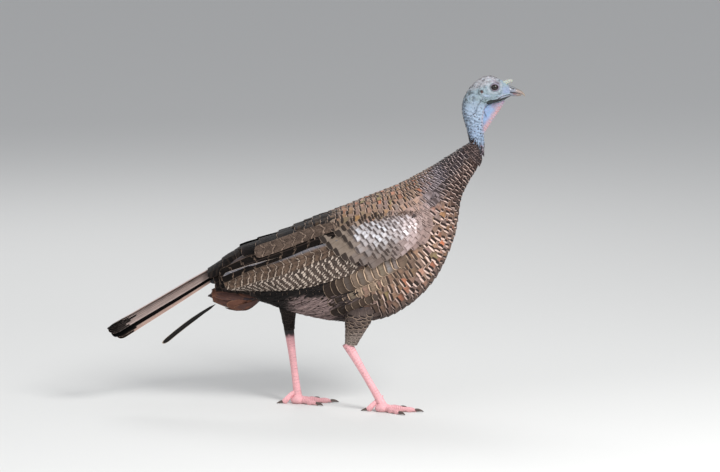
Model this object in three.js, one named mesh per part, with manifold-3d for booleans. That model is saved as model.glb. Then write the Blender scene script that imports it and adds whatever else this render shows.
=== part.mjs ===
// A hen wild turkey in mid-stride, as separate solids that meet across thin gaps.
// Millimetres. +X runs towards the bill, +Y to the bird's left and +Z up; the floor is Z = 0.
//
// Most pieces are lofts through ribs. A rib is a flat oval section that stands across the bird:
// its top and bottom points lie in the side view, and its half width is measured along Y.

import * as THREE from "three";
import { mergeVertices } from "three/addons/utils/BufferGeometryUtils.js";
import Module from "manifold-3d";

const wasm = await Module();
wasm.setup();

// ---- Driving dimensions -----------------------------------------------------------------

const GAP = 0.4; // clear space between neighbouring pieces
const OVAL = 2.25; // superellipse power of the body's sections, 2 being a true ellipse

// Ribs of the feathered body: [top x, z], [bottom x, z], half width, height of the widest level
const BODY_RIBS = [
  rib([-198, 248], [-190, 214], 29), // end of the rump, over the tail's root
  rib([-140, 291], [-108, 199], 45, 0.48), // rump
  rib([-66, 319], [-42, 177], 64, 0.46), // loin
  rib([10, 352], [38, 161], 78, 0.46), // flank
  rib([85, 383], [128, 166], 84, 0.46), // deepest part of the belly
  rib([150, 409], [207, 226], 78, 0.48), // breast
  rib([190, 430], [249, 312], 62), // shoulders
  rib([222, 449], [264, 390], 41), // foot of the neck
  rib([275, 484], [300, 452.5], 20.5), // collar, where the feathers end
];
const NECK_FOOT = 0.83; // share of the body's ribs at which the neck parts from the trunk

// Ribs of the bare neck and head, from the collar to the bill's root
const HEAD_RIBS = [
  rib([278, 481], [300, 457], 14), // collar
  rib([270.5, 508], [301.5, 492], 13.5), // middle of the neck
  rib([262.5, 540], [300.5, 529], 15), // top of the neck
  rib([266, 564], [306, 549], 18, 0.48), // nape and angle of the jaw
  rib([286, 591], [317, 553], 20.5, 0.45), // back of the crown
  rib([308, 602], [326, 555], 20.5, 0.45), // crown
  rib([326, 598], [335, 558], 17, 0.47), // brow
  rib([337, 591], [342, 562], 12.5, 0.5), // lore
  rib([345, 586.3], [349, 566], 8.8, 0.55), // bill's root
];
const HEAD_FOOT = 0.27; // share of the head's ribs at which the head parts from the neck
const PARTING = 0.0008; // share of either loft that is left out on each side of such a cut

const UPPER_BILL_RIBS = [
  rib([345.4, 586.2], [347.9, 573.4], 8.4, 0.78),
  rib([353.5, 583.2], [356, 572.8], 7, 0.78),
  rib([361.5, 579.4], [363, 571.4], 5.2, 0.76),
  rib([369, 575.4], [368.8, 569.4], 3.2, 0.7),
  rib([373.6, 570.2], [372.2, 567.6], 1.5, 0.6),
  rib([375, 565.6], [374.2, 565.2], 0.4),
];
const LOWER_BILL_RIBS = [
  rib([348, 572.9], [349.3, 566.2], 7.4, 0.2),
  rib([356, 572.3], [357, 566], 6.1, 0.2),
  rib([363, 570.9], [363.6, 566.4], 4.4, 0.2),
  rib([368.4, 568.9], [368.2, 567.2], 2, 0.3),
];

const SNOOD_RIBS = [
  rib([336, 594], [341, 584], 4.2),
  rib([341, 595], [344.5, 588.6], 3.6),
  rib([346.5, 596.2], [347.5, 590.4], 3.1),
  rib([350.6, 595.2], [350.8, 592.4], 1.5),
];
const DEWLAP_RIBS = [
  rib([337, 563], [338, 556.4], 2),
  rib([320, 560], [333, 546.5], 3.4),
  rib([300, 553], [326, 536.5], 4.2),
  rib([290, 536], [318, 524.5], 4.6),
  rib([290, 516], [309, 511], 4),
  rib([290, 504], [302.2, 500], 2.4),
];

const EYE = { x: 319.8, z: 584, out: 15.2, radius: 7 };

// A folded wing: places along it run from the tip, 0, to the shoulder, 1
const WING = {
  bodyShares: [0.045, 0.715], // stretch of the body's ribs that the wing covers
  upperEdge: [0.12, 0.05, 0.05, 0.1, 0.17, 0.3], // from the back down, as a share of the rib
  lowerEdge: [0.83, 0.72, 0.6, 0.51, 0.52, 0.58],
  halfWidths: [44, 61, 77, 88, 90, 76], // from the middle plane to the wing's outer face
  depths: [6, 9, 16, 18, 16, 12], // before the trunk is cut away from it
  lift: 4, // height above the trunk even at its upper and front edges
  rounding: 0.1, // how far its corners fall short of its ends
};

// The closed tail: a stack of long feathers with a roof-shaped top
const TAIL = {
  root: [-199.5, 232],
  tip: [-371, 133],
  halfWidths: [24, 31, 35, 33],
  ridge: 14, // height of its ridge above the line from root to tip
  drop: 30, // how far its two sides hang below its ridge
  hollow: 0.2, // share of that drop by which its underside is hollow too
  depths: [8, 7.5, 6.5, 5],
  rounding: 5, // how much shorter the outer feathers are
};

// One tail feather that hangs apart from the others, on the right of the middle plane
const LOOSE_FEATHER = {
  root: [-181, -8, 192],
  tip: [-278, -20, 121.5],
  halfWidths: [7, 14, 16, 9],
  roll: 26, // degrees, lower at its outer edge
  depth: 2.6,
};

const VENT_RIBS = [
  rib([-88, 212], [-92, 198], 14), // feathers under the tail's root
  rib([-118, 222], [-123, 178], 25),
  rib([-150, 222], [-152, 180], 27),
  rib([-180, 218], [-178, 192], 21),
  rib([-197, 207], [-196, 201], 9),
];

// Legs: the right one is forward. Places are of the middle of the joint
const LEGS = {
  right: {
    side: -1,
    hock: [60, -44, 117],
    ball: [119, -42, 13],
    turn: -6, // degrees that the foot points to the left
    thigh: [
      rib([112, 204], [56, 200], 24, 0.5, -42),
      rib([101, 168], [52, 167], 23, 0.5, -46),
      rib([85, 141], [52.5, 143], 15, 0.5, -45),
      rib([73, 121], [52, 124], 10, 0.5, -44),
    ],
  },
  left: {
    side: 1,
    hock: [-49, 44, 130],
    ball: [-34, 42, 13],
    turn: 6,
    thigh: [
      rib([-30, 206], [-66, 206], 14, 0.5, 35),
      rib([-31, 184], [-69, 188], 18, 0.5, 42),
      rib([-38, 160], [-64, 160], 13, 0.5, 45),
      rib([-40, 136], [-58, 134], 9.5, 0.5, 44),
    ],
  },
};
const SHANK_DEPTHS = [9.2, 7.6, 6.6, 6.2, 6.6, 7.6]; // fore and aft, from the hock down
const SHANK_HALF_WIDTHS = [7.6, 6, 5.2, 5, 5.4, 6.6];
const SHANK_OVERLAP = 7; // how far it starts above the hock, before the thigh is cut from it
const BALL_PROFILE = [[0, 0], [8.5, 0], [12.4, 3], [13.4, 7], [11.4, 12], [6, 16.5], [0, 17.5]];

const FLAT_TOES = [
  { name: "middle", angle: 0, length: 62, pads: 3, thick: 1 },
  { name: "inner", angle: 40, length: 43, pads: 2, thick: 0.94 },
  { name: "outer", angle: -40, length: 46, pads: 3, thick: 0.9 },
];
const TOE = { start: 8, tops: [13.2, 6.8], halfWidths: [3.7, 5, 4.4, 3.4], sole: -1.6, padSwell: 0.09 };
const CLAW = { length: 13, top: 6.2, bottom: 1.3, half: 2.5, tip: 0.7 };
const HIND_TOE_RIBS = [
  rib([-3, 27], [-5, 17], 4.2),
  rib([-13, 21], [-11, 11.5], 3.8),
  rib([-21, 14], [-17, 4], 3.7),
  rib([-26, 9.2], [-22, -1.2], 3.4),
  rib([-28.8, 6.4], [-27, 0.9], 2.6),
];
const HIND_CLAW_RIBS = [
  rib([-29.3, 6.2], [-27.6, 1.2], 2.2),
  rib([-34, 4.2], [-32, 0.9], 1.5),
  rib([-38.5, 1.4], [-38, 0.5], 0.5),
];

// Rings along a loft and points round each of them
const FINENESS = {
  trunk: [20, 24],
  neck: [7, 22],
  bareNeck: [6, 18],
  head: [14, 18],
  bill: [7, 12],
  small: [6, 10],
  thigh: [7, 12],
  shank: [7, 10],
  toe: [9, 8],
  claw: [4, 6],
};
const WING_GRID = [14, 7];
const TAIL_GRID = [9, 8];

const COLOURS = {
  coat: [0x4a3a30, 0.75],
  wing: [0x6a5a4c, 0.6],
  tail: [0x54443c, 0.65],
  skin: [0x9fb0c8, 0.55],
  wattle: [0xc98a96, 0.5],
  horn: [0xb59b8a, 0.35],
  eye: [0x1c120d, 0.1],
  leg: [0xc9838a, 0.5],
  claw: [0x4d413a, 0.4],
};

// ---- Ribs and lofts ---------------------------------------------------------------------

function rib(top, bottom, half, widest = 0.5, middle = 0) {
  return { top, bottom, half, widest, middle };
}

function mix(a, b, share) {
  return a + (b - a) * share;
}

// Smooth value at a place from 0 to 1 along a list of evenly spaced values
function along(values, place) {
  const curve = new THREE.SplineCurve(values.map((value, i) => new THREE.Vector2(i, value)));
  return curve.getPoint(place).y;
}

// The ribs turned into smooth curves, so that a rib can be had at any place from 0 to 1
function cage(ribs) {
  const outline = (pick) =>
    new THREE.CatmullRomCurve3(ribs.map((r) => new THREE.Vector3(pick(r)[0], 0, pick(r)[1])));
  const top = outline((r) => r.top);
  const bottom = outline((r) => r.bottom);
  const list = (key) => ribs.map((r) => r[key]);
  return (place) => ({
    top: top.getPoint(place),
    bottom: bottom.getPoint(place),
    half: along(list("half"), place),
    widest: along(list("widest"), place),
    middle: along(list("middle"), place),
  });
}

// Points round one rib: a superellipse whose widest level may lie above or below its middle
function ringOf(at, sides) {
  return Array.from({ length: sides }, (_, k) => {
    const angle = (k / sides) * 2 * Math.PI;
    const rise = Math.abs(Math.sin(angle)) ** (2 / OVAL);
    const reach = Math.sign(Math.cos(angle)) * Math.abs(Math.cos(angle)) ** (2 / OVAL);
    const down = Math.sin(angle) > 0 ? at.widest * (1 - rise) : mix(at.widest, 1, rise);
    const point = new THREE.Vector3().lerpVectors(at.top, at.bottom, down);
    point.y = at.middle + at.half * reach;
    return point;
  });
}

function loft(ribs, [rings, sides], { from = 0, to = 1, onFloor = false } = {}) {
  const at = cage(ribs);
  const places = Array.from({ length: rings + 1 }, (_, i) => mix(from, to, i / rings));
  const points = places.map((place) => ringOf(at(place), sides));
  if (onFloor) {
    points.flat().forEach((point) => (point.z = Math.max(point.z, 0)));
  }
  return closedTube(points);
}

// ---- Closed meshes ----------------------------------------------------------------------

// A geometry from points and triangles, turned so that its faces point outwards
function solid(points, triangles) {
  const volume = triangles.reduce((sum, _, i) => {
    if (i % 3) {
      return sum;
    }
    const [a, b, c] = [0, 1, 2].map((k) => points[triangles[i + k]]);
    return sum + a.dot(b.clone().cross(c));
  }, 0);
  const geometry = new THREE.BufferGeometry().setFromPoints(points);
  geometry.setIndex(volume > 0 ? triangles : [...triangles].reverse());
  return geometry;
}

function closedTube(rings) {
  const sides = rings[0].length;
  const points = rings.flat();
  const triangles = [];
  for (let r = 0; r + 1 < rings.length; r++) {
    for (let k = 0; k < sides; k++) {
      const a = r * sides + k;
      const b = r * sides + ((k + 1) % sides);
      triangles.push(a, b, a + sides, b, b + sides, a + sides);
    }
  }
  for (const [ring, first] of [[rings[0], 0], [rings.at(-1), (rings.length - 1) * sides]]) {
    const centre = points.length;
    points.push(ring.reduce((sum, p) => sum.add(p), new THREE.Vector3()).divideScalar(sides));
    for (let k = 0; k < sides; k++) {
      const edge = [first + k, first + ((k + 1) % sides)];
      triangles.push(centre, ...(first ? edge : edge.reverse()));
    }
  }
  return solid(points, triangles);
}

// A slab between two grids of points that share their layout, closed round its rim
function slab(outer, inner) {
  const [rows, columns] = [outer.length, outer[0].length];
  const points = [...outer.flat(), ...inner.flat()];
  const below = rows * columns;
  const triangles = [];
  const quad = (a, b, c, d) => triangles.push(a, b, c, a, c, d);
  for (let r = 0; r + 1 < rows; r++) {
    for (let c = 0; c + 1 < columns; c++) {
      const corners = [r * columns + c, r * columns + c + 1];
      const face = [corners[0], corners[1], corners[1] + columns, corners[0] + columns];
      quad(...face);
      quad(...face.map((corner) => corner + below).reverse());
    }
  }
  const rim = [];
  for (let c = 0; c + 1 < columns; c++) {
    rim.push(c);
  }
  for (let r = 0; r + 1 < rows; r++) {
    rim.push(r * columns + columns - 1);
  }
  for (let c = columns - 1; c > 0; c--) {
    rim.push((rows - 1) * columns + c);
  }
  for (let r = rows - 1; r > 0; r--) {
    rim.push(r * columns);
  }
  rim.forEach((corner, i) => {
    const next = rim[(i + 1) % rim.length];
    quad(next, corner, corner + below, next + below);
  });
  return solid(points, triangles);
}

function grid([rows, columns], pointAt) {
  return Array.from({ length: rows + 1 }, (_, r) =>
    Array.from({ length: columns + 1 }, (_, c) => pointAt(r / rows, c / columns)),
  );
}

// ---- Cutting pieces apart ---------------------------------------------------------------

function bare(geometry) {
  const copy = geometry.clone();
  copy.deleteAttribute("normal");
  copy.deleteAttribute("uv");
  return mergeVertices(copy, 1e-4);
}

// The same shape with every point moved out along its normal
function grown(geometry, distance) {
  const copy = bare(geometry);
  copy.computeVertexNormals();
  const { position, normal } = copy.attributes;
  for (let i = 0; i < position.count; i++) {
    const point = new THREE.Vector3().fromBufferAttribute(position, i);
    point.addScaledVector(new THREE.Vector3().fromBufferAttribute(normal, i), distance);
    position.setXYZ(i, ...point.toArray());
  }
  return copy;
}

function toManifold(geometry) {
  const clean = bare(geometry);
  const vertProperties = new Float32Array(clean.attributes.position.array);
  const triVerts = new Uint32Array(clean.index.array);
  return new wasm.Manifold(new wasm.Mesh({ numProp: 3, vertProperties, triVerts }));
}

function fromManifold(shape) {
  const mesh = shape.getMesh();
  const geometry = new THREE.BufferGeometry();
  geometry.setAttribute("position", new THREE.BufferAttribute(mesh.vertProperties, 3));
  geometry.setIndex(new THREE.BufferAttribute(mesh.triVerts, 1));
  return geometry;
}

// The geometry less its neighbours, which are grown by the gap; crumbs are dropped
function cutBy(geometry, ...neighbours) {
  let shape = toManifold(geometry);
  for (const neighbour of neighbours) {
    shape = shape.subtract(toManifold(grown(neighbour, GAP)));
  }
  const pieces = shape.decompose().sort((a, b) => b.volume() - a.volume());
  return fromManifold(pieces[0]);
}

function joined(first, second) {
  return fromManifold(toManifold(first).add(toManifold(second)));
}

// ---- The bird ---------------------------------------------------------------------------

const turkey = new THREE.Group();

function place(name, geometry, colour) {
  const [color, roughness] = COLOURS[colour];
  const material = new THREE.MeshStandardMaterial({ color, roughness, metalness: 0 });
  const mesh = new THREE.Mesh(geometry, material);
  mesh.name = name;
  turkey.add(mesh);
}

function buildBody() {
  const trunk = loft(BODY_RIBS, FINENESS.trunk, { to: NECK_FOOT - PARTING });
  const neck = loft(BODY_RIBS, FINENESS.neck, { from: NECK_FOOT + PARTING });
  place("trunk", trunk, "coat");
  place("neck_feathered", neck, "coat");
  return trunk;
}

function eyeball(side, radius) {
  const ball = new THREE.SphereGeometry(radius, 14, 9);
  ball.translate(EYE.x, side * EYE.out, EYE.z);
  return ball;
}

function buildHead() {
  const neck = loft(HEAD_RIBS, FINENESS.bareNeck, { to: HEAD_FOOT - PARTING });
  let head = loft(HEAD_RIBS, FINENESS.head, { from: HEAD_FOOT + PARTING });
  for (const [name, side] of [["eye_left", 1], ["eye_right", -1]]) {
    const eye = eyeball(side, EYE.radius);
    head = cutBy(head, eye);
    place(name, eye, "eye");
  }
  place("neck_bare", neck, "skin");
  place("head", head, "skin");
  place("bill_upper", loft(UPPER_BILL_RIBS, FINENESS.bill), "horn");
  place("bill_lower", loft(LOWER_BILL_RIBS, FINENESS.bill), "horn");
  place("snood", cutBy(loft(SNOOD_RIBS, FINENESS.small), head), "wattle");
  place("dewlap", cutBy(loft(DEWLAP_RIBS, FINENESS.small), head, neck), "wattle");
}

// The wing's outer face lies over the body's ribs, further out than the trunk, and comes
// down to a small lift above it at its upper edge and at the shoulder
function buildWing(side, trunk) {
  const bodyAt = cage(BODY_RIBS);
  const sheet = (depth) =>
    grid(WING_GRID, (lengthwise, across) => {
      const corner = WING.rounding * (2 * across - 1) ** 4 * lengthwise ** 6;
      const at = bodyAt(mix(...WING.bodyShares, lengthwise - corner));
      const edges = [along(WING.upperEdge, lengthwise), along(WING.lowerEdge, lengthwise)];
      const down = mix(...edges, across);
      const level = Math.abs(down - at.widest) / (down < at.widest ? at.widest : 1 - at.widest);
      const reach = (1 - level ** OVAL) ** (1 / OVAL);
      const edgeRise = Math.min(1, across / 0.35) * Math.min(1, (1 - lengthwise) / 0.18);
      const proud = Math.sin((edgeRise * Math.PI) / 2);
      const halfWidth = mix(at.half, along(WING.halfWidths, lengthwise), proud);
      const point = new THREE.Vector3().lerpVectors(at.top, at.bottom, down);
      point.y = side * halfWidth * reach;
      const centre = new THREE.Vector3().lerpVectors(at.top, at.bottom, at.widest);
      const inwards = centre.sub(point).normalize();
      return point.addScaledVector(inwards, depth * along(WING.depths, lengthwise) - WING.lift);
    });
  return cutBy(slab(sheet(0), sheet(1)), trunk);
}

function buildTail(neighbours) {
  const root = new THREE.Vector3(TAIL.root[0], 0, TAIL.root[1]);
  const run = new THREE.Vector3(TAIL.tip[0], 0, TAIL.tip[1]).sub(root);
  const up = new THREE.Vector3(run.z, 0, -run.x).normalize();
  const sheet = (depth) =>
    grid(TAIL_GRID, (lengthwise, across) => {
      const v = 2 * across - 1;
      const short = (TAIL.rounding * v * v * lengthwise ** 3) / run.length();
      const point = root.clone().addScaledVector(run, lengthwise - short);
      point.y = v * along(TAIL.halfWidths, lengthwise);
      const under = mix(1, v * v, TAIL.hollow) * TAIL.drop + along(TAIL.depths, lengthwise);
      return point.addScaledVector(up, TAIL.ridge - (depth ? under : TAIL.drop * v * v));
    });
  return cutBy(slab(sheet(0), sheet(1)), ...neighbours);
}

function buildLooseFeather(neighbours) {
  const root = new THREE.Vector3(...LOOSE_FEATHER.root);
  const run = new THREE.Vector3(...LOOSE_FEATHER.tip).sub(root);
  const flat = new THREE.Vector3().crossVectors(run, new THREE.Vector3(0, 0, 1)).normalize();
  const roll = THREE.MathUtils.degToRad(LOOSE_FEATHER.roll);
  const sideways = flat.applyAxisAngle(run.clone().normalize(), roll);
  const up = new THREE.Vector3().crossVectors(sideways, run).normalize();
  const sheet = (depth) =>
    grid([8, 3], (lengthwise, across) => {
      const v = 2 * across - 1;
      const point = root.clone().addScaledVector(run, lengthwise - 0.03 * v * v * lengthwise);
      point.addScaledVector(sideways, v * along(LOOSE_FEATHER.halfWidths, lengthwise));
      return point.addScaledVector(up, -1.5 * v * v - depth * LOOSE_FEATHER.depth);
    });
  return cutBy(slab(sheet(0), sheet(1)), ...neighbours);
}

// Ribs across a straight limb between two joints
function limbRibs(start, end, depths, halfWidths) {
  const [a, b] = [new THREE.Vector3(...start), new THREE.Vector3(...end)];
  const axis = b.clone().sub(a).normalize();
  a.addScaledVector(axis, -SHANK_OVERLAP);
  const forward = new THREE.Vector3(-axis.z, 0, axis.x).normalize();
  return depths.map((depth, i) => {
    const middle = a.clone().lerp(b, i / (depths.length - 1));
    const front = middle.clone().addScaledVector(forward, depth);
    const back = middle.clone().addScaledVector(forward, -depth);
    return rib([front.x, front.z], [back.x, back.z], halfWidths[i], 0.5, middle.y);
  });
}

// A toe lies along +X from the ball's centre and rests on its pads, flattened by the floor
function toeRibs({ length, pads, thick }) {
  const count = 4 * pads + 1;
  return Array.from({ length: count }, (_, i) => {
    const share = i / (count - 1);
    const pad = Math.cos(2 * Math.PI * pads * (share - 0.12));
    const x = mix(TOE.start, length, share);
    const end = share === 1 ? 0.82 : 1;
    const top = thick * end * (mix(...TOE.tops, share) + 0.5 * pad);
    const half = thick * end * along(TOE.halfWidths, share) * (1 + TOE.padSwell * pad);
    return rib([x, top], [x, pad > 0 ? TOE.sole * pad : 0.6], half, 0.55);
  });
}

function clawRibs({ length }) {
  const from = length + GAP;
  const end = length + CLAW.length;
  const middle = mix(from, end, 0.5);
  return [
    rib([from, CLAW.top], [from, CLAW.bottom], CLAW.half),
    rib([middle, CLAW.top - 0.6], [middle, CLAW.bottom + 0.1], CLAW.half * 0.75),
    rib([end, CLAW.tip + 1], [end - 0.4, CLAW.tip], 0.5),
  ];
}

function buildLeg(name, leg, trunk) {
  const thighRaw = loft(leg.thigh, FINENESS.thigh);
  const shankRibs = limbRibs(leg.hock, leg.ball, SHANK_DEPTHS, SHANK_HALF_WIDTHS);
  const profile = BALL_PROFILE.map(([radius, height]) => new THREE.Vector2(radius, height));
  const ball = new THREE.LatheGeometry(profile, 14).rotateX(Math.PI / 2);
  ball.translate(leg.ball[0], leg.ball[1], 0);
  const shank = cutBy(joined(loft(shankRibs, FINENESS.shank), ball), thighRaw);
  place(`thigh_${name}`, cutBy(thighRaw, trunk), "coat");
  place(`shank_${name}`, shank, "leg");

  const onFoot = (geometry, angle) => {
    geometry.rotateZ(THREE.MathUtils.degToRad(leg.turn + angle));
    return geometry.translate(leg.ball[0], leg.ball[1], 0);
  };
  for (const toe of FLAT_TOES) {
    const angle = -leg.side * toe.angle;
    const raw = loft(toeRibs(toe), FINENESS.toe, { onFloor: true });
    place(`toe_${toe.name}_${name}`, cutBy(onFoot(raw, angle), shank), "leg");
    place(`claw_${toe.name}_${name}`, onFoot(loft(clawRibs(toe), FINENESS.claw), angle), "claw");
  }
  const hind = onFoot(loft(HIND_TOE_RIBS, FINENESS.small, { onFloor: true }), 0);
  place(`toe_hind_${name}`, cutBy(hind, shank), "leg");
  place(`claw_hind_${name}`, onFoot(loft(HIND_CLAW_RIBS, FINENESS.claw), 0), "claw");
}

buildHead();
const trunk = buildBody();
const wings = [buildWing(1, trunk), buildWing(-1, trunk)];
place("wing_left", wings[0], "wing");
place("wing_right", wings[1], "wing");
const vent = cutBy(loft(VENT_RIBS, FINENESS.thigh), trunk, ...wings);
const tail = buildTail([trunk, ...wings, vent]);
place("undertail_coverts", vent, "coat");
place("tail", tail, "tail");
place("tail_feather_loose", buildLooseFeather([trunk, vent, tail]), "tail");
for (const [name, leg] of Object.entries(LEGS)) {
  buildLeg(name, leg, trunk);
}

export default turkey;
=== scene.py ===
import math

import bpy
import numpy as np
from bpy.props import FloatProperty, FloatVectorProperty, IntProperty, PointerProperty
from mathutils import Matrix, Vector


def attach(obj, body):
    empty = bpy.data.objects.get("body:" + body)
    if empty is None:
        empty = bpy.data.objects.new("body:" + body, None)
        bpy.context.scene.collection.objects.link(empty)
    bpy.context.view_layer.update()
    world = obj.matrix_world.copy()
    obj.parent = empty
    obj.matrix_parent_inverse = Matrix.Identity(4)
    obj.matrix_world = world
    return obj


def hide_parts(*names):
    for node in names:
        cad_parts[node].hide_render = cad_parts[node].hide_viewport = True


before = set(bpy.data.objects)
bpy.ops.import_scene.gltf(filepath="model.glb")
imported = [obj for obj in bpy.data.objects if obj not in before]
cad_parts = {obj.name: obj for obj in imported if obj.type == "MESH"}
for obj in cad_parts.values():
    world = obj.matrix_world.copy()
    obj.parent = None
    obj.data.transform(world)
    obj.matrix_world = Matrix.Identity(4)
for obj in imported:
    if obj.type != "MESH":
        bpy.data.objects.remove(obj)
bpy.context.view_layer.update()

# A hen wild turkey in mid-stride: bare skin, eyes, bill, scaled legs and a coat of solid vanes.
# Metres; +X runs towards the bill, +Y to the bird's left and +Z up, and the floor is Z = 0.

bl_info = {"name": "Wild Turkey Hen", "version": (1, 0, 0), "blender": (4, 5, 0),
    "location": "View3D > Sidebar > Turkey",
    "description": "Builds a life-size hen wild turkey in feathers, skin, horn and scales",
    "category": "Add Mesh"}

join, norm, dice = np.concatenate, np.linalg.norm, np.random.default_rng
MM = 0.001
OVAL = 2.25  # superellipse power of the body's sections
SKIN_COLUMNS = 200  # points round the trunk, the neck and the head
FLANK_STEP = 12.8  # millimetres between the broad flank feathers
LEFT, RIGHT = 1, -1
SIDES = {"left": LEFT, "right": RIGHT}


# ---- Driving shapes, in millimetres, the same as the solids' ----


# Each rib is one oval section: x and z of its top and of its bottom, its half width and, where
# they aren't 0.5 and 0, its widest level and its middle's y.
BODY_RIBS = [
    (-198, 248, -190, 214, 29),
    (-140, 291, -108, 199, 45, 0.48),
    (-66, 319, -42, 177, 64, 0.46),
    (10, 352, 38, 161, 78, 0.46),
    (85, 383, 128, 166, 84, 0.46),
    (150, 409, 207, 226, 78, 0.48),
    (190, 430, 249, 312, 62),
    (222, 449, 264, 390, 41),
    (275, 484, 300, 452.5, 20.5),
]
HEAD_RIBS = [
    (278, 481, 300, 457, 14),
    (270.5, 508, 301.5, 492, 13.5),
    (262.5, 540, 300.5, 529, 15),
    (266, 564, 306, 549, 18, 0.48),
    (286, 591, 317, 553, 20.5, 0.45),
    (308, 602, 326, 555, 20.5, 0.45),
    (326, 598, 335, 558, 17, 0.47),
    (337, 591, 342, 562, 12.5, 0.5),
    (345, 586.3, 349, 566, 8.8, 0.55),
]
UPPER_BILL_RIBS = [
    (343.4, 586.6, 346.4, 573.6, 8.6, 0.78),
    (353.5, 583.2, 356, 572.8, 7, 0.78),
    (361.5, 579.4, 363, 571.4, 5.2, 0.76),
    (369, 575.4, 368.8, 569.4, 3.2, 0.7),
    (373.6, 570.2, 372.2, 567.6, 1.5, 0.6),
    (375, 565.6, 374.2, 565.2, 0.4),
]
LOWER_BILL_RIBS = [
    (346.5, 572.9, 347.8, 566.4, 7.5, 0.2),
    (356, 572.3, 357, 566, 6.1, 0.2),
    (363, 570.9, 363.6, 566.4, 4.4, 0.2),
    (368.4, 568.9, 368.2, 567.2, 2, 0.3),
]
SNOOD_RIBS = [
    (334, 593, 340, 583, 4.2),
    (341, 595.4, 344.5, 588.2, 3.9),
    (346.5, 596.9, 347.5, 589.6, 3.7),
    (350.6, 596.6, 351.0, 591.0, 3.0),
]
DEWLAP_RIBS = [
    (337, 563, 338, 556.4, 2),
    (320, 560, 333, 546.5, 3.4),
    (300, 553, 326, 536.5, 4.2),
    (290, 536, 318, 524.5, 4.6),
    (290, 516, 309, 511, 4),
    (290, 504, 302.2, 500, 2.4),
]
VENT_RIBS = [
    (-88, 212, -92, 198, 14),
    (-118, 222, -123, 178, 25),
    (-150, 222, -152, 180, 27),
    (-180, 218, -178, 192, 21),
    (-197, 207, -196, 201, 9),
]
THIGH_RIBS = {
    "right": [
        (112, 204, 56, 200, 24, 0.5, -42),
        (101, 168, 52, 167, 23, 0.5, -46),
        (85, 141, 52.5, 143, 15, 0.5, -45),
        (73, 121, 52, 124, 10, 0.5, -44),
    ],
    "left": [
        (-30, 206, -66, 206, 14, 0.5, 35),
        (-31, 184, -69, 188, 18, 0.5, 42),
        (-38, 160, -64, 160, 13, 0.5, 45),
        (-40, 136, -58, 134, 9.5, 0.5, 44),
    ],
}
HOCKS = {"right": (60, -44, 117), "left": (-49, 44, 130)}
BALLS = {"right": (119, -42, 13), "left": (-34, 42, 13)}
FOOT_TURNS = {"right": -6, "left": 6}
SHANK_DEPTHS = (9.2, 7.6, 6.6, 6.2, 6.6, 7.6)
SHANK_HALF_WIDTHS = (7.6, 6, 5.2, 5, 5.4, 6.6)
WING = {
    "stretch": (0.045, 0.715),
    "upper": (0.12, 0.05, 0.05, 0.1, 0.17, 0.3),
    "lower": (0.83, 0.72, 0.6, 0.51, 0.52, 0.58),
    "half": (44, 61, 77, 88, 90, 76),
    "lift": 4.0,
    "rounding": 0.1,
}
FLANK_ROW = ((16, 221), (150, 279))
TAIL = {"root": (-199.5, 232), "tip": (-371, 133), "half": (24, 31, 35, 33), "ridge": 14, "drop": 30}
LOOSE_FEATHER = {"root": (-181, -8, 192), "tip": (-278, -20, 121.5), "half": 15.5, "roll": 26}
EYE = {"x": 319.8, "z": 584.0, "radius": 6.6}
FLAT_TOES = {"middle": (0, 62, 3, 1.0), "inner": (40, 43, 2, 0.94), "outer": (-40, 46, 3, 0.9)}


# ---- Curves, surfaces and noise ----


def stack(*arrays):
    """Arrays side by side along a new last axis."""
    return np.stack(arrays, -1)


def net(*lines):
    """Every pair of values from two lines, as two grids."""
    return np.meshgrid(*lines, indexing="ij")


def cubic(a, b, slope_a, slope_b):
    """Coefficients of the cubic from a to b with the given slopes at its ends."""
    return np.stack([a, slope_a, 3 * (b - a) - 2 * slope_a - slope_b, 2 * (a - b) + slope_a + slope_b])


def curve_through(points):
    """Cubics through points; each slope comes from its neighbours, weighed by the root of spacing."""
    p = np.array(points, float)
    p = np.vstack([2 * p[0] - p[1], p, 2 * p[-1] - p[-2]])
    step = np.sqrt(norm(np.diff(p, axis=0), axis=1))[:, None]
    before, here, after = step[:-2], step[1:-1], step[2:]
    p0, p1, p2, p3 = p[:-3], p[1:-2], p[2:-1], p[3:]
    slope_1 = here * ((p1 - p0) / before - (p2 - p0) / (before + here) + (p2 - p1) / here)
    slope_2 = here * ((p2 - p1) / here - (p3 - p1) / (here + after) + (p3 - p2) / after)
    return cubic(p1, p2, slope_1, slope_2)


def spline(values):
    """Cubics through evenly spaced values; the slope at each is half its neighbours' difference."""
    p = np.array(values, float).reshape(len(values), -1)
    slope = np.vstack([p[1] - p[0], p[2:] - p[:-2], p[-1] - p[-2]]) / 2
    return cubic(p[:-1], p[1:], slope[:-1], slope[1:])


def evaluate(cubics, share):
    """Value of joined cubics at shares from 0 to 1 of their whole run."""
    count = cubics.shape[1]
    place = np.clip(share, 0, 1) * count
    piece = np.minimum(place.astype(int), count - 1)
    w = (place - piece)[..., None]
    c = cubics[:, piece]
    return ((c[3] * w + c[2]) * w + c[1]) * w + c[0]


def along(values, share):
    """Smooth value at a share from 0 to 1 along a list of evenly spaced values."""
    return evaluate(spline(values), np.asarray(share, float))[..., 0]


def smooth(low, high, value):
    """0 below low, 1 above high and an S-shaped rise between them."""
    x = np.clip((value - low) / (high - low), 0, 1)
    return x * x * (3 - 2 * x)


def fall(low, high, value):
    """1 below low, 0 above high."""
    return 1 - smooth(low, high, value)


def hill(x, wide, z=0.0, tall=1.0):
    """A bell-shaped hill, 1 at its middle: e to the power of minus (x / wide)^2 + (z / tall)^2."""
    return np.exp(-((x / wide) ** 2 + (z / tall) ** 2))


def xyz(points):
    """The three coordinates in millimetres."""
    return np.moveaxis(points / MM, -1, 0)


def unit(vectors):
    return vectors / np.maximum(norm(vectors, axis=-1, keepdims=True), 1e-12)


def mix(a, b, share):
    return a + (b - a) * share


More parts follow.
